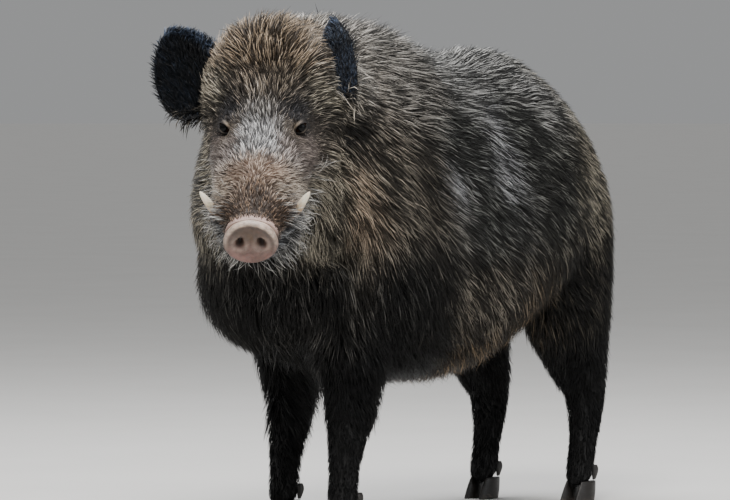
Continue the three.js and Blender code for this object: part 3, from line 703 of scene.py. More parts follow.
def sculpted_snout(local, out):
    """Wrinkles across the snout, the line of the mouth and the lip that the tusk lifts."""
    a, b, c = local.T
    top = ease(-10, 25, c)
    rings = np.sin((a + 5 * np.cos(b / 16)) / 4.6) * ease(150, 205, a) * ease(296, 280, a) * top
    line = -42 - 0.203 * (262 - a)
    mouth = bell(c - line, 3.2) * ease(80, 120, a) * ease(275, 258, a)
    lip = bell(c - line - 11, 6) * bell(a - 205, 26)
    gum = bell(a - 204, 15) * bell(c + 22, 13)
    cheek = bell(a - 70, 38) * bell(c + 18, 18)
    shape = 0.9 * rings - 6.5 * mouth + 3.0 * lip + 11.0 * gum + 3.0 * cheek
    side = np.stack([0 * a, np.sign(b) * ease(5, 25, np.abs(b)), 0 * a], 1)
    way = np.where((mouth + lip + gum > 0.2)[:, None], unit(side + 0.3 * out), out)
    return local + shape[:, None] * way


def fitted_to_disc(local):
    """The end of the snout, brought to the outline of the nose disc."""
    a, b, c = local.T
    centre = (NOSE_AHEAD - a) * math.tan(NOSE_TILT)
    rise = c + centre
    far = np.maximum(np.hypot(b, rise), 1e-3)
    half_width, half_height = 45.5, np.where(rise > 0, 39.5, 37.5)
    oval = 1 / np.hypot(b / far / half_width, rise / far / half_height)
    seam = ease(250, 274, a) * (c > -48)
    swell = 1 + (oval / far - 1) * seam * ease(0.5, 0.8, far / oval)
    return np.stack([a, b * swell, rise * swell - centre], 1)


def creased(mesh, at):
    """The fold behind the cheek, where the turned head presses on the neck: deep on the left side."""
    x, y, z = (at - (MIDLINE, 0, 0)).T / MM
    fold = np.interp(z, (460, 500, 570, 640, 720), (-306, -317, -339, -348, -318))
    reach = ease(440, 490, z) * ease(770, 700, z) * ease(110, 140, np.abs(x)) * np.where(x > 0, 1.0, 0.4)
    depth = reach * (15 * bell(y - fold, 10) - 9 * bell(y - fold + 34, 18))
    return at - facing(mesh) * depth[:, None] * MM


def front_of_head(local):
    """The part of the head that is sculpted: all in front of the ears and above the throat."""
    return (local[:, 0] > -60) & (local[:, 2] > -125)


def make_skin(settings):
    """One skin for all the flesh."""
    mesh = sunk(flesh_volume(settings.voxel))
    # finer faces on the front of the head, finer again on the snout and round the eyes
    refined(mesh, lambda p: front_of_head(p) & (np.abs(p[:, 1]) < 125))
    refined(mesh, lambda p: (p[:, 0] > 170) & (p[:, 2] > -75) & (p[:, 2] < 75) | (
        np.linalg.norm(np.abs(p) - (15, 63, 15), axis=1) < 34))
    refined(mesh, lambda p: np.linalg.norm(np.abs(p) - (15, 66, 13), axis=1) < 19)
    average = smoother(mesh)
    at = average(spots(mesh), 3, 0.5)
    moved(mesh, at)
    local = in_head(at)
    near = front_of_head(local)
    out = facing(mesh) @ HEAD_AXES
    local[near] = fitted_to_disc(sculpted_snout(local[near], out[near]))
    local[near] = sculpted_eyes(local[near])
    moved(mesh, creased(mesh, from_head(local)))
    shape = bmesh.new()
    shape.from_mesh(mesh)
    bmesh.ops.triangulate(shape, faces=shape.faces)
    shape.to_mesh(mesh)
    shape.free()
    mesh.shade_smooth()
    return mesh


def skin_tones(at):
    """The skin's colours: the coat's markings, a bare snout, dark lids and the pale fold above them."""
    coat = coat_at(at)
    shade = (1 + 0.25 * waves(at, 0.05, 2))[:, None]
    tone = (coat["dark"] * 0.8 + coat["pale"] * 0.05) * shade
    local = in_head(at)
    bare = (ease(262, 274, local[:, 0]) * ease(-10, 20, local[:, 2]))[:, None]
    tone = tone + (np.array((0.50, 0.35, 0.30)) * shade - tone) * bare
    for name, side in SIDES.items():
        _, corner, up = eye_axes(side)
        away = local - in_head(EYE[name][None])
        distance, across, height = np.linalg.norm(away, axis=1), away @ corner, away @ up
        lid = ease(27, 17, distance)[:, None]
        wide = np.abs(across)
        upper = bell(height - 10.3 + LID_CURVE * across**2, 1.3)
        upper = upper * ease(27, 22, wide) * ease(14, -4, across)
        lower = 0.5 * bell(height + 8.0, 1.6) * ease(12, 2, wide)
        fold = np.maximum(upper, lower)[:, None]
        tone = tone + (np.array((0.014, 0.011, 0.010)) * shade - tone) * lid
        tone = tone + (np.array((0.26, 0.205, 0.15)) * shade - tone) * lid * fold
        tone = tone * (1 - 0.95 * ease(13.9, 13.2, distance))[:, None]
    return tone


def unwrapped(piece):
    """Gives a piece its own unwrap, named OFBake."""
    layer = piece.data.uv_layers.get("OFBake") or piece.data.uv_layers.new(name="OFBake")
    piece.data.uv_layers.active = layer
    bpy.ops.object.select_all(action="DESELECT")
    bpy.context.view_layer.objects.active = piece
    piece.select_set(True)
    bpy.ops.object.mode_set(mode="EDIT")
    bpy.ops.mesh.select_all(action="SELECT")
    bpy.ops.uv.smart_project(angle_limit=math.radians(66), island_margin=0.001)
    bpy.ops.object.mode_set(mode="OBJECT")


# ------------------------------------------------------------------ ears, eyes, nose, tusks and hooves


def rounded(name, node, levels, sink=0.0, bevel=0.0):
    """A frame node's shape made round: quads, an optional bevel, then subdivision, as a mesh."""
    shape = node_copy(node)
    bmesh.ops.dissolve_limit(shape, angle_limit=math.radians(1), verts=shape.verts, edges=shape.edges)
    bmesh.ops.join_triangles(
        shape, faces=[face for face in shape.faces if len(face.verts) == 3],
        angle_face_threshold=math.radians(50), angle_shape_threshold=math.radians(60))
    if bevel:
        sharp = [edge for edge in shape.edges if edge.calc_face_angle(0) > math.radians(35)]
        bmesh.ops.bevel(
            shape, geom=sharp, offset=bevel, offset_type="OFFSET", affect="EDGES", segments=2,
            profile=0.5, material=-1)
    piece = bpy.data.objects.new(name, mesh_from(shape, name))
    bpy.context.scene.collection.objects.link(piece)
    finer = piece.modifiers.new("round", "SUBSURF")
    finer.levels = finer.render_levels = levels
    mesh = bpy.data.meshes.new_from_object(piece.evaluated_get(bpy.context.evaluated_depsgraph_get()))
    bpy.data.objects.remove(piece)
    if sink:
        moved(mesh, spots(mesh) - facing(mesh) * sink)
    mesh.shade_smooth()
    mesh.name = name
    return mesh


# which way each ear's tip points and its cup opens, in the head's frame
EAR_WAYS = {
    "left": ((-0.63, 0.04, 0.78), (-0.41, 0.85, -0.32)),
    "right": ((-0.65, -0.53, 0.57), (0.77, -0.27, 0.68)),
}


def ear_axes(name):
    """An ear's own axes in the whole frame: across it, the way its cup opens, and up to its tip."""
    tip, opening = (np.array(way) for way in EAR_WAYS[name])
    up = unit(tip)
    opening = unit(opening - up * (opening @ up))
    return np.stack([np.cross(up, opening), opening, up]) @ HEAD_AXES.T


def ear_places(name, points):
    """Points on an ear: across it from -1 to 1, along it from 0 to 1, and its frame's axes."""
    root, tip = EARS[name]
    axes = ear_axes(name)
    local = (points - root) @ axes.T
    along = np.clip(local[:, 2] / np.linalg.norm(tip - root), 0, 1)
    half = 0.075 * np.cos(math.pi / 2 * np.minimum(along, 0.97) ** 1.8) ** 0.7
    return np.clip(local[:, 0] / np.maximum(half, 0.012), -1.3, 1.3), along, axes


def eyeball(name):
    """A ball with the bulge of the cornea on the side that looks out."""
    look = HEAD_AXES @ eye_axes(SIDES[name])[0]
    shape = bmesh.new()
    bmesh.ops.create_uvsphere(shape, u_segments=64, v_segments=40, radius=EYE_RADIUS * MM)
    mesh = mesh_from(shape, f"eyeball_{name}")
    at = spots(mesh)
    out = unit(at)
    swell = 1.1 * MM * ease(0.72, 0.9, out @ look)
    moved(mesh, at + out * swell[:, None] + EYE[name])
    return mesh, look


def nose_tones(x, y, places, rim, wing, pit):
    """The nose disc's colours: mottled flesh, a pale rim, a brown middle, and painted shade in the groove
    inside the upper rim and deep in the nostrils.
    """
    pale = np.array((0.68, 0.53, 0.43))
    flesh = np.array((0.100, 0.064, 0.049))
    pink = np.array((0.24, 0.128, 0.108))
    # the colour of the nostrils' painted shade
    dark = np.array((0.010, 0.007, 0.007))
    patches = 0.5 + 0.5 * waves(places, 26, 8)
    tone = flesh + (pink - flesh) * np.clip(0.7 * bell(y + 0.62, 0.3) + 0.5 * patches - 0.2, 0, 1)[:, None]
    tone = tone + (pale - tone) * np.clip(rim * ease(-0.5, 0.7, y) + 0.2 * wing, 0, 1)[:, None]
    brown = np.array((0.085, 0.044, 0.018))
    tone = tone + (brown - tone) * (0.75 * bell(y - 0.38, 0.28) * bell(x, 0.36) * (1 - rim))[:, None]
    # painted shade: a dark arc in the groove inside the upper rim
    tone = tone * (1 - 0.45 * bell(np.sqrt(x**2 + y**2) - 0.78, 0.06) * ease(-0.2, 0.5, y))[:, None]
    # painted shade: the nostrils darkened to nearly black in their depth
    tone = tone + (dark - tone) * np.clip(pit * 1.6 - 0.15, 0, 0.94)[:, None]
    return tone


def nose_plate():
    """The nose disc: a turned plate, shaped to the disc's outline, with a rim and two deep nostrils."""
    shape = bmesh.new()
    edge = [(0.0, 15.0), (0.1, 15.0)]
    edge += [(0.1 + 0.8 * i / 26, 15.0) for i in range(1, 27)]
    edge += [(0.96, 14.2), (0.99, 12.0), (1.0, 9.0), (0.985, 5.0), (0.95, 1.0), (0.9, -6.0), (0.85, -14.0)]
    line = [shape.verts.new((across, 0, height)) for across, height in edge]
    edges = [shape.edges.new(pair) for pair in zip(line, line[1:])]
    bmesh.ops.spin(
        shape, geom=[*line, *edges], cent=(0, 0, 0), axis=(0, 0, 1), angle=2 * math.pi, steps=96,
        use_merge=True)
    bmesh.ops.remove_doubles(shape, verts=shape.verts, dist=1e-4)
    bmesh.ops.holes_fill(shape, edges=[edge for edge in shape.edges if edge.is_boundary])
    bmesh.ops.recalc_face_normals(shape, faces=shape.faces)
    mesh = mesh_from(shape, "nose_disc_skin")
    x, y, z = spots(mesh).T
    round_up = np.sqrt(x**2 + y**2)
    b = 45.0 * x
    c = np.where(y > 0, 40, 38) * y
    b = b * (1 + 0.04 * bell(y + 0.25, 0.35))
    face = ease(12, 15, z)
    pit = np.zeros(len(x))
    for side in (1, -1):
        pit += bell(np.hypot(b - side * 18, (c - 1 + side * 0.5 * (b - side * 18)) / 1.3), 4.2)
    rim = bell(round_up - 0.93, 0.07)
    wing = sum(bell(np.hypot(b - side * 19, c + 2) - 12, 3.2) for side in (1, -1))
    groove = bell(b, 3) * ease(0.95, 0.2, np.abs(y + 0.3))
    dish = bell(round_up - 0.68, 0.14)
    ahead = z + face * (2.6 * rim + 1.4 * wing - 15.0 * pit - 1.2 * groove - 2.4 * dish)
    ahead = ahead + face * waves(np.stack([b, c, z], 1), 12, 4) * 0.6
    lean = np.stack([ahead * math.cos(NOSE_TILT) - c * math.sin(NOSE_TILT), b,
                     ahead * math.sin(NOSE_TILT) + c * math.cos(NOSE_TILT)], 1)
    moved(mesh, from_head(lean + (NOSE_AHEAD, 0, 0)))
    coloured(mesh, nose_tones(x, y, np.stack([b, c, z], 1), rim, wing, pit))
    return mesh


def tusk_horn(name):
    """A lower tusk, with how near each place is to its root as its colour."""
    mesh = rounded(f"tusk_{name}_ivory", f"tusk_{name}", 2)
    local = in_head(spots(mesh))
    along = local[:, 2]
    part = (along - along.min()) / (along.max() - along.min())
    local[:, 1] += SIDES[name] * (9 * part - 7)
    moved(mesh, from_head(local))
    share = 1 - ease(-14, 14, along)
    coloured(mesh, np.repeat(share[:, None], 3, 1))
    return mesh


def pointed(at):
    """A dewclaw drawn in to a blunt point at its lower end, and a little at its root."""
    low, high = at.min(0), at.max(0)
    along = (high[2] - at[:, 2]) / (high[2] - low[2])
    share = 0.55 * ease(0.3, 1.0, along) + 0.5 * ease(0.4, 0.0, along)
    line = (low + high)[:2] / 2 - (0, 0.2 * (high[1] - low[1]))
    drawn = at.copy()
    drawn[:, :2] += (line - at[:, :2]) * share[:, None]
    return drawn


# ------------------------------------------------------------------ coat

# the first seed of each group of hairs
COAT_SEED, EAR_SEED, WHISKER_SEED = 10, 40, 70
UV_PATCH = 0.003  # the side of the patch that each hair has in the unwrap


class Ground:
    """A triangle mesh that hair grows on: it gives roots, and leads points along its surface."""

    def __init__(self, piece):
        mesh = piece.data
        self.at = spots(mesh)
        self.out = facing(mesh)
        mesh.calc_loop_triangles()
        corners = np.empty(len(mesh.loop_triangles) * 3, np.int32)
        mesh.loop_triangles.foreach_get("vertices", corners)
        self.corners = corners.reshape(-1, 3)
        loops = np.empty(len(corners), np.int32)
        mesh.loop_triangles.foreach_get("loops", loops)
        uv = np.empty(len(mesh.loops) * 2)
        mesh.uv_layers["OFBake"].data.foreach_get("uv", uv)
        self.uv = uv.reshape(-1, 2)[loops.reshape(-1, 3)]
        self.tree = BVHTree.FromPolygons(self.at.tolist(), self.corners.tolist())
        one, two, three = (self.at[self.corners[:, i]] for i in range(3))
        self.area = np.linalg.norm(np.cross(two - one, three - one), axis=1) / 2
        self.centres = (one + two + three) / 3

    def roots(self, density, chance):
        """Roots spread by the number of blades that each face has to the square metre."""
        total = np.cumsum(self.area * density)
        count = int(total[-1])
        pick = np.searchsorted(total, (np.arange(count) + chance.random(count)) * total[-1] / count)
        pick = np.minimum(pick, len(total) - 1)
        u, v = chance.random((2, count))
        flip = u + v > 1
        u, v = np.where(flip, 1 - u, u), np.where(flip, 1 - v, v)
        share = np.stack([1 - u - v, u, v], 1)
        at = (self.at[self.corners[pick]] * share[:, :, None]).sum(1)
        out = unit((self.out[self.corners[pick]] * share[:, :, None]).sum(1))
        return at, out, (self.uv[pick] * share[:, :, None]).sum(1)

    def landed(self, points):
        """The nearest places on the surface and the normals there."""
        found = [self.tree.find_nearest(point) for point in points.tolist()]
        at = np.array([hit[0] for hit in found])
        faces = np.array([hit[2] for hit in found])
        return at, unit(self.out[self.corners[faces]].sum(1))


def tangent(way, out):
    """A direction laid flat on the surface."""
    return unit(way - out * (way * out).sum(1, keepdims=True))


def led(ground, at, out, lie, length, depth, levels, droop):
    """The spines of hairs that follow the surface, rise from it, and fall freely past a sharp edge."""
    spine = [at.copy()]
    foot, normal = at.copy(), out
    flat = np.sqrt(np.maximum(length**2 - depth**2, (0.25 * length) ** 2))
    way = tangent(lie(at), normal)
    free = np.zeros(len(at), bool)
    for step in range(1, levels + 1):
        part = step / levels
        ahead = foot + way * (flat / levels * np.where(free, 0.6, 1.0))[:, None]
        near, above = ground.landed(ahead)
        free = free | (np.linalg.norm(ahead - near, axis=1) > 0.3 * flat / levels)
        foot = np.where(free[:, None], ahead, near)
        normal = np.where(free[:, None], normal, above)
        falling = unit(way - (0, 0, 0.3))
        way = np.where(free[:, None], falling, tangent(lie(foot) * 0.6 + way * 0.4, normal))
        rise = depth * part * (1.35 - 0.35 * part)
        point = foot + normal * rise[:, None]
        point[:, 2] -= droop * length * part**2
        spine.append(point)
    return np.stack(spine, 1)


def clumped(spine, chance, every, amount):
    """Draws the ends of hairs towards those of their locks' leading hairs, and names each hair's lock."""
    count = len(spine)
    leads = chance.choice(count, max(1, count // every), replace=False)
    tree = KDTree(len(leads))
    for place, lead in enumerate(leads):
        tree.insert(spine[lead, 0], place)
    tree.balance()
    mine = leads[np.array([tree.find(root)[1] for root in spine[:, 0].tolist()])]
    part = np.linspace(0, 1, spine.shape[1]) ** 1.3
    pull = part[None, :, None] * (amount * chance.uniform(0.4, 1.0, count))[:, None, None]
    shift = spine[mine] - spine
    near = np.linalg.norm(shift[:, 0], axis=1) < 0.03
    return spine + shift * pull * near[:, None, None], mine


def blades(name, spine, out, width, colours, uv):
    """Closed three-sided blades along spines, in one mesh, each with its patch of the unwrap."""
    count, points = spine.shape[:2]
    rings = points - 1
    run = np.gradient(spine, axis=1)
    side = unit(np.cross(run, out[:, None, :]))
    high = unit(np.cross(side, run))
    part = np.linspace(0, 1, points)[:rings]
    radius = 0.5 * width[:, None] * (1 - 0.62 * part**1.5)[None, :]
    radius[:, 0] *= 0.8
    ring = []
    for turn, flat in ((math.pi / 2, 0.55), (math.pi * 7 / 6, 1.0), (math.pi * 11 / 6, 1.0)):
        across = side[:, :rings] * math.cos(turn) + high[:, :rings] * math.sin(turn) * flat
        ring.append(spine[:, :rings] + across * radius[:, :, None])
    body = np.stack(ring, 2).reshape(count, rings * 3, 3)
    at = np.concatenate([body, spine[:, -1:, :]], 1)
    faces = [(0, 2, 1)]
    for r in range(rings - 1):
        for i in range(3):
            p, q = 3 * r + i, 3 * r + (i + 1) % 3
            faces += [(p, q, q + 3), (p, q + 3, p + 3)]
    last, tip = 3 * (rings - 1), 3 * rings
    faces += [(last + i, last + (i + 1) % 3, tip) for i in range(3)]
    faces = np.array(faces)
    size = 3 * rings + 1
    index = faces[None] + (np.arange(count) * size)[:, None, None]
    mesh = bpy.data.meshes.new(name)
    mesh.vertices.add(count * size)
    mesh.vertices.foreach_set("co", at.astype(np.float32).ravel())
    mesh.loops.add(index.size)
    mesh.loops.foreach_set("vertex_index", index.astype(np.int32).ravel())
    mesh.polygons.add(index.size // 3)
    mesh.polygons.foreach_set("loop_start", np.arange(0, index.size, 3, dtype=np.int32))
    mesh.update(calc_edges=True)
    mesh.shade_smooth()
    shades = np.concatenate([np.repeat(colours[:, :rings], 3, 1), colours[:, -1:]], 1)
    coloured(mesh, shades.reshape(-1, 3))
    patch = np.array([(i / 3, r / rings) for r in range(rings) for i in range(3)] + [(0.5, 1.0)])
    patch = uv[:, None, :] + (patch - 0.5)[None] * UV_PATCH
    layer = mesh.uv_layers.new(name="OFBake")
    layer.data.foreach_set("uv", patch.reshape(-1, 2)[index.ravel()].astype(np.float32).ravel())
    return mesh


def hair_colours(coat, levels, chance, points, lock):
    """Each hair's colours from root to tip: whole locks are dark or have pale ends, in uneven patches."""
    count = len(points)
    share = coat["share"] + waves(points, 0.11, 5) * 0.12
    share = np.clip(share + waves(points, 0.03, 6) * 0.07, 0.03, 0.95)
    own, shared = chance.random(count), chance.random(count)[lock]
    pale = np.where(chance.random(count) < 0.5, shared, own) < share
    light = chance.uniform(0.7, 1.2, count) * (1 + 0.25 * waves(points, 0.05, 9))
    amount = np.where(pale, chance.uniform(0.55, 1.0, count), chance.uniform(0.0, 0.12, count))
    part = np.linspace(0, 1, levels + 1)
    rise = ease(0.15, 0.8, part)[None] * amount[:, None]
    colours = coat["dark"][:, None] * (1 - rise[..., None]) + coat["pale"][:, None] * rise[..., None]
    return colours * light[:, None, None]


def ear_coat(name, ground):
    """A function that gives the coat of an ear: short on its back, long along its rim and in its cup."""

    def coat(points):
        across, along, axes = ear_places(name, points)
        _, out = ground.landed(points)
        inner = ease(0.0, 0.5, out @ axes[1])
        rim = np.maximum(ease(0.72, 0.95, np.abs(across)), ease(0.84, 0.97, along))
        fan = np.sign(across) * np.abs(across) ** 1.5
        aside = 0.75 * fan + 0.6 * np.sign(across) * rim
        lie = axes[2] * (0.9 - 0.45 * rim)[:, None] + axes[0] * aside[:, None]
        length = 11 + 9 * rim + inner * (8 + 8 * (1 - along)) * (1 - 0.4 * rim)
        depth = 3 + 1.5 * rim + 3 * inner
        count = 19 - 6 * inner * (1 - rim)
        # the ear tint's bluish pale tips are a painted sheen
        dark, pale, _ = (np.array(tint) for tint in TINTS["ear"])
        tone = np.ones((len(points), 1))
        # painted shade: the hair in the cup is darker and has fewer pale tips
        cup_shade = (inner * (1 - rim))[:, None]
        pale = pale * (1 + 2.2 * rim[:, None]) * (1 - 0.6 * cup_shade)
        dark = dark * (1 - 0.7 * cup_shade)
        share = 0.45 - 0.3 * cup_shade[:, 0]
        return {"lie": lie, "length": length * MM, "depth": depth * MM, "count": count,
                "width": 1.3 * MM + 0 * rim, "dark": dark * tone, "pale": pale * tone, "share": share}

    return coat


def grow(ground, region, seed, levels, scale, every, amount, droop=0.03, coat_at=coat_at, blur=7):
    """Spines, normals, widths, colours and unwrap places of the hairs of one region."""
    chance = np.random.default_rng(seed)
    face_coat = coat_at(ground.centres)
    density = face_coat["count"] * 1e4 * scale * region(ground.centres) * haired(ground.centres)
    at, out, uv = ground.roots(density, chance)
    coat = coat_at(at)
    count = len(at)
    if blur:
        beside = coat_at(at + chance.normal(scale=blur * MM, size=at.shape))
        coat.update({name: beside[name] for name in ("dark", "pale", "share")})
    length = coat["length"] * chance.uniform(0.7, 1.25, count)
    depth = coat["depth"] * chance.uniform(0.9, 1.3, count)
    swirl = np.stack([waves(at, 0.16, seed + k) for k in range(3)], 1) * 0.22
    jitter = chance.normal(scale=0.16, size=(count, 3)) + swirl

    def lie(points):
        return coat_at(points)["lie"] + jitter

    spine = led(ground, at, out, lie, length, depth, levels, droop)
    spine, lock = clumped(spine, chance, every, amount)
    bend = chance.normal(scale=0.05, size=(count, 1, 3)) * length[:, None, None]
    spine = spine + bend * (np.linspace(0, 1, levels + 1) ** 2)[None, :, None]
    width = coat["width"] * chance.uniform(0.7, 1.25, count)
    return spine, out, width, hair_colours(coat, levels, chance, at, lock), uv


# whiskers: where they stand, which way they lean, the size of the patch, their length and how many to the
# square centimetre at its middle
WHISKERS = {
    "lip": ((205, 74, -32), (-0.2, 0.8, -0.5), 20, 38, 2.0),
    "chin": ((205, 42, -98), (0.1, 0.6, -0.9), 22, 46, 2.2),
    "snout": ((222, 56, 8), (-0.2, 0.9, -0.1), 20, 22, 2.0),
    "cheek": ((115, 84, -66), (-0.3, 0.8, -0.6), 28, 46, 1.1),
    "brow": ((4, 60, 44), (0.1, 0.6, 0.8), 11, 26, 0.7),
    "lash": ((18, 74, 24), (0.1, 0.8, 0.6), 4, 9, 7),
}


def whisker_at(points):
    """The coat's values for whiskers."""
    local = in_head(points)
    shares, lies, lengths = [], [], []
    for (a, b, c), lie, size, length, count in WHISKERS.values():
        for side in (1, -1):
            shares.append(count * bell(np.linalg.norm(local - (a, b * side, c), axis=1), size) + 1e-9)
            lies.append(HEAD_AXES @ (np.array(lie) * (1, side, 1)))
            lengths.append(length)
    shares = np.array(shares).T
    total = shares.sum(1)
    tone = np.ones((len(points), 1))
    length = shares @ np.array(lengths) / total * MM
    return {"lie": shares @ np.array(lies), "length": length, "depth": 0.8 * length, "count": total,
            "width": 0.9 * MM * tone[:, 0], "dark": tone * (0.12, 0.12, 0.12),
            "pale": tone * (0.85, 0.83, 0.78), "share": 0.75 * tone[:, 0]}


def haired(points):
    """1 where hair grows, and 0 between the lids and on the bare skin behind the nose disc."""
    local = in_head(points)
    share = np.ones(len(points))
    for name, side in SIDES.items():
        look, corner, up = eye_axes(side)
        away = local - in_head(EYE[name][None])
        across, height = away @ corner, away @ up
        share *= ease(1.0, 1.2, np.hypot(across / 15.5, (height - 0.8) / 10.5) + (away @ look < 0))
    disc = ease(274, 280, local[:, 0]) * (np.linalg.norm(local[:, 1:], axis=1) < 70)
    return share * (1 - disc)


# where the hair of the head ends and where that of the face begins, along the head, in millimetres
HEAD_EDGE = -100
BROW = 30


def head_share(points):
    """1 on the head and 0 behind it."""
    local = in_head(points)
    return (local[:, 0] > HEAD_EDGE) & (local[:, 2] > -215) & (np.abs(local[:, 1]) < 150)


def leg_share(points):
    """1 on the legs, apart from the belly between them and the tail."""
    return (points[:, 2] < 0.31) & ~tail_share(points) & ~(np.abs(points[:, 1] - 0.13) < 0.2)


def tail_share(points):
    """1 on the tail."""
    return (points[:, 1] > 0.635) & (points[:, 2] < 0.70)


def trunk_share(low, high, side):
    """A length of the trunk on one side, between two places along it."""

    def share(points):
        own = (points[:, 1] >= low) & (points[:, 1] < high) & ((points[:, 0] > MIDLINE) == (side > 0))
        return own & ~head_share(points) & ~leg_share(points) & ~tail_share(points)

    return share


def face_share(points):
    """1 on the head from the brow forward."""
    local = in_head(points)
    return head_share(points) & (local[:, 0] > BROW)


def back_head_share(points):
    """1 on the head behind the brow."""
    local = in_head(points)
    return head_share(points) & (local[:, 0] <= BROW)


# region: where it grows, the stretches in each hair, hairs to a lock and how far the locks draw together
REGIONS = {
    "coat_face": (face_share, 2, 6, 0.4),
    "coat_crown": (back_head_share, 3, 5, 0.4),
    "coat_neck_left": (trunk_share(-1.0, -0.20, 1), 3, 5, 0.6),
    "coat_neck_right": (trunk_share(-1.0, -0.20, -1), 3, 5, 0.6),
    "coat_shoulder_left": (trunk_share(-0.20, 0.06, 1), 2, 4, 0.55),
    "coat_shoulder_right": (trunk_share(-0.20, 0.06, -1), 2, 4, 0.55),
    "coat_flank_left": (trunk_share(0.06, 0.32, 1), 2, 4, 0.55),
    "coat_flank_right": (trunk_share(0.06, 0.32, -1), 2, 4, 0.55),
    "coat_rump_left": (trunk_share(0.32, 1.0, 1), 2, 4, 0.55),
    "coat_rump_right": (trunk_share(0.32, 1.0, -1), 2, 4, 0.55),
    "coat_legs": (leg_share, 2, 6, 0.5),
    "coat_tail": (tail_share, 3, 6, 0.4),
}

# the regions whose slot isn't that of the body
SLOTS = {
    "coat_face": "coat_head", "coat_crown": "coat_head", "coat_legs": "coat_dark", "coat_tail": "coat_dark",
}


# ------------------------------------------------------------------ settings


class SkinSettings(bpy.types.PropertyGroup):
    voxel: bpy.props.FloatProperty(
        name="Skin grain", description="Size of the skin's faces before the face is refined",
        default=0.0076, unit="LENGTH")


class CoatSettings(bpy.types.PropertyGroup):
    density: bpy.props.FloatProperty(
        name="Density", description="Share of the full number of hairs", default=1.0, min=0.05, max=1.5)


class StageSettings(bpy.types.PropertyGroup):
    distance: bpy.props.FloatProperty(
        name="Camera distance", description="From the camera to the point it looks at",
        default=9.0, unit="LENGTH")
    lens: bpy.props.FloatProperty(
        name="Lens", description="Focal length on a sensor 36 mm wide", default=255.2)
    horizon: bpy.props.FloatVectorProperty(
        name="Horizon", description="Colour of the backdrop where it meets the floor", size=3,
        subtype="COLOR", default=(0.567, 0.574, 0.580), min=0, max=1)


SETTINGS = {"boar_skin": SkinSettings, "boar_coat": CoatSettings, "boar_stage": StageSettings}


# ------------------------------------------------------------------ operators


def hair_scale(context):
    """The share of the full number of hairs that is grown."""
    return context.scene.boar_coat.density * 1


class BOAR_OT_skin(bpy.types.Operator):
    """Make one skin in place of the flesh nodes"""

    bl_idname = "boar.skin"
    bl_label = "Skin"

    def execute(self, context):
        mesh = make_skin(context.scene.boar_skin)
        mesh.name = "skin"
        piece = added("skin", mesh, skin_paint(), "coat_body", *FLESH)
        coloured(mesh, skin_tones(spots(mesh)))
        unwrapped(piece)
        return {"FINISHED"}


class BOAR_OT_ears(bpy.types.Operator):
    """Make both ears and their hair"""

    bl_idname = "boar.ears"
    bl_label = "Ears"

    def execute(self, context):
        scale = hair_scale(context)
        skin, hair = skin_paint(), coat_paint()
        for seed, name in enumerate(SIDES):
            mesh = rounded(f"ear_{name}_skin", f"ear_{name}", 2, 1.2 * MM)
            piece = added(mesh.name, mesh, skin, "coat_dark", f"ear_{name}")
            # painted shade: the skin on the side that faces into the cup is darker
            inner = ease(0, 0.5, facing(mesh) @ ear_axes(name)[1])[:, None]
            coloured(mesh, np.array((0.012, 0.012, 0.015)) * (1 - 0.6 * inner))
            unwrapped(piece)
            ground = Ground(piece)
            hairs = grow(
                ground, lambda at: np.ones(len(at)), EAR_SEED + seed, 2, scale, every=8, amount=0.35,
                droop=0.0, coat_at=ear_coat(name, ground), blur=0)
            added(f"coat_ear_{name}", blades(f"coat_ear_{name}", *hairs), hair, "coat_dark")
        return {"FINISHED"}


class BOAR_OT_face(bpy.types.Operator):
    """Make the eyes, the nose disc and the tusks"""

    bl_idname = "boar.face"
    bl_label = "Eyes, nose and tusks"

    def execute(self, context):
        for name in SIDES:
            mesh, look = eyeball(name)
            added(mesh.name, mesh, eye_paint(tuple(EYE[name]), tuple(look)), "eye", f"eye_{name}")
        added("nose_disc_skin", nose_plate(), nose_paint(), "nose_skin", "nose_disc")
        ivory = tusk_paint()
        for name in SIDES:
            mesh = tusk_horn(name)
            added(mesh.name, mesh, ivory, "tusk", f"tusk_{name}")
        return {"FINISHED"}


class BOAR_OT_hooves(bpy.types.Operator):
    """Make the claws and dewclaws of all feet"""

    bl_idname = "boar.hooves"
    bl_label = "Hooves"

    def execute(self, context):
        horn = horn_paint()
        for node in sorted(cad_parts):
            if node.startswith(("hoof_", "dewclaw_")):
                mesh = rounded(f"{node}_horn", node, 2, bevel=1.6 * MM)
                if node.startswith("dewclaw_"):
                    moved(mesh, smoother(mesh)(pointed(spots(mesh)), 10))
                added(mesh.name, mesh, horn, "horn", node)
        return {"FINISHED"}


class BOAR_OT_coat(bpy.types.Operator):
    """Grow the coat of the body and the head, region by region"""

    bl_idname = "boar.coat"
    bl_label = "Coat"

    def execute(self, context):
        ground = Ground(bpy.data.objects["skin"])
        paint = coat_paint()
        scale = hair_scale(context)
        for seed, (name, (region, levels, every, amount)) in enumerate(REGIONS.items()):
            hairs = grow(ground, region, COAT_SEED + seed, levels, scale, every, amount)
            mesh = blades(name, *hairs)
            added(name, mesh, paint, SLOTS.get(name, "coat_body"))
        hairs = grow(
            ground, face_share, WHISKER_SEED, 3, scale, every=1, amount=0.0, droop=0.04,
            coat_at=whisker_at, blur=0)
        added("whiskers", blades("whiskers", *hairs), paint, "coat_head")
        return {"FINISHED"}


LAMPS = {
    "key": ((1.65, -2.5, 4.2), 1.8, 230, (1, 0.98, 0.95)),
    "top": ((-0.6, 0.6, 4.0), 2.2, 200, (0.97, 0.98, 1)),
    "fill": ((4.2, -0.5, 1.8), 2.5, 35, (0.92, 0.96, 1)),
}
LAMP_AIM = Vector((0, -0.1, 0.55))
CAMERA_AIM = Vector((0.1205, -0.2175, 0.4933))
CAMERA_BACK = Vector((0.573198, -0.818612, 0.036305))


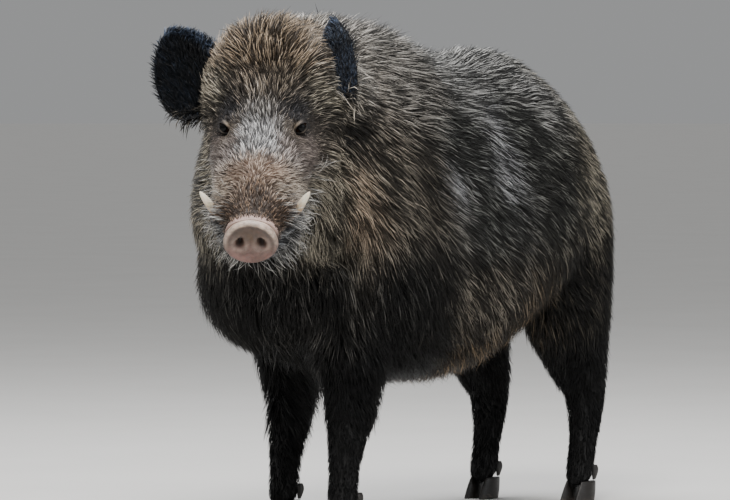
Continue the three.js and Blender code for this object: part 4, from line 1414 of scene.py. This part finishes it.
def make_sky(scene, horizon):
    """A backdrop that is lighter overhead than at the horizon."""
    world = bpy.data.worlds.new("studio")
    scene.world = world
    world.use_nodes = True
    nodes, link = world.node_tree.nodes, world.node_tree.links.new
    sky = nodes["Background"]
    sky.inputs["Strength"].default_value = 0.55
    place, split, ramp = (nodes.new(kind) for kind in (
        "ShaderNodeTexCoord", "ShaderNodeSeparateXYZ", "ShaderNodeValToRGB"))
    for stop, position, colour in zip(
            ramp.color_ramp.elements, (0.02, 0.45), ((*horizon, 1), (0.93, 0.94, 0.95, 1))):
        stop.position, stop.color = position, colour
    link(place.outputs["Generated"], split.inputs["Vector"])
    link(split.outputs["Z"], ramp.inputs["Fac"])
    link(ramp.outputs["Color"], sky.inputs["Color"])


def make_lamps(scene):
    """Soft square lamps, turned towards the trunk."""
    for name, (at, size, power, colour) in LAMPS.items():
        light = bpy.data.lights.new(name, "AREA")
        light.size, light.energy, light.color = size, power, colour
        lamp = bpy.data.objects.new(name, light)
        lamp.location = at
        lamp.rotation_euler = (LAMP_AIM - Vector(at)).to_track_quat("-Z", "Y").to_euler()
        scene.collection.objects.link(lamp)


def make_camera(scene, settings):
    """The camera, at its distance from the point that it looks at."""
    camera = bpy.data.cameras.new("camera")
    camera.sensor_width, camera.lens = 36, settings.lens
    camera.clip_end = 200
    shot = bpy.data.objects.new("camera", camera)
    shot.location = CAMERA_AIM + CAMERA_BACK * settings.distance
    shot.rotation_euler = CAMERA_BACK.to_track_quat("Z", "Y").to_euler()
    scene.collection.objects.link(shot)
    scene.camera = shot


class BOAR_OT_stage(bpy.types.Operator):
    """Set the floor, the lights and the camera"""

    bl_idname = "boar.stage"
    bl_label = "Stage"

    def execute(self, context):
        settings = context.scene.boar_stage
        shape = bmesh.new()
        bmesh.ops.create_circle(shape, cap_ends=True, radius=60, segments=96)
        added("floor", mesh_from(shape, "floor"), floor_paint())
        make_sky(context.scene, settings.horizon)
        make_lamps(context.scene)
        make_camera(context.scene, settings)
        return {"FINISHED"}


OPERATORS = (BOAR_OT_stage, BOAR_OT_skin, BOAR_OT_face, BOAR_OT_ears, BOAR_OT_hooves, BOAR_OT_coat)


class BOAR_PT_panel(bpy.types.Panel):
    """The boar's pieces, in the order in which they are made"""

    bl_idname = "BOAR_PT_panel"
    bl_label = "Wild boar"
    bl_space_type = "VIEW_3D"
    bl_region_type = "UI"
    bl_category = "Boar"

    def draw(self, context):
        for name, group in SETTINGS.items():
            for field in group.__annotations__:
                self.layout.prop(getattr(context.scene, name), field)
        for operator in OPERATORS:
            self.layout.operator(operator.bl_idname)


def register():
    for kind in (*SETTINGS.values(), *OPERATORS, BOAR_PT_panel):
        bpy.utils.register_class(kind)
    for name, group in SETTINGS.items():
        setattr(bpy.types.Scene, name, bpy.props.PointerProperty(type=group))


def unregister():
    for name in SETTINGS:
        delattr(bpy.types.Scene, name)
    for kind in (BOAR_PT_panel, *reversed(OPERATORS), *reversed(SETTINGS.values())):
        bpy.utils.unregister_class(kind)


def main():
    register()
    for operator in OPERATORS:
        group, name = operator.bl_idname.split(".")
        getattr(getattr(bpy.ops, group), name)()


if __name__ == "__main__":
    main()
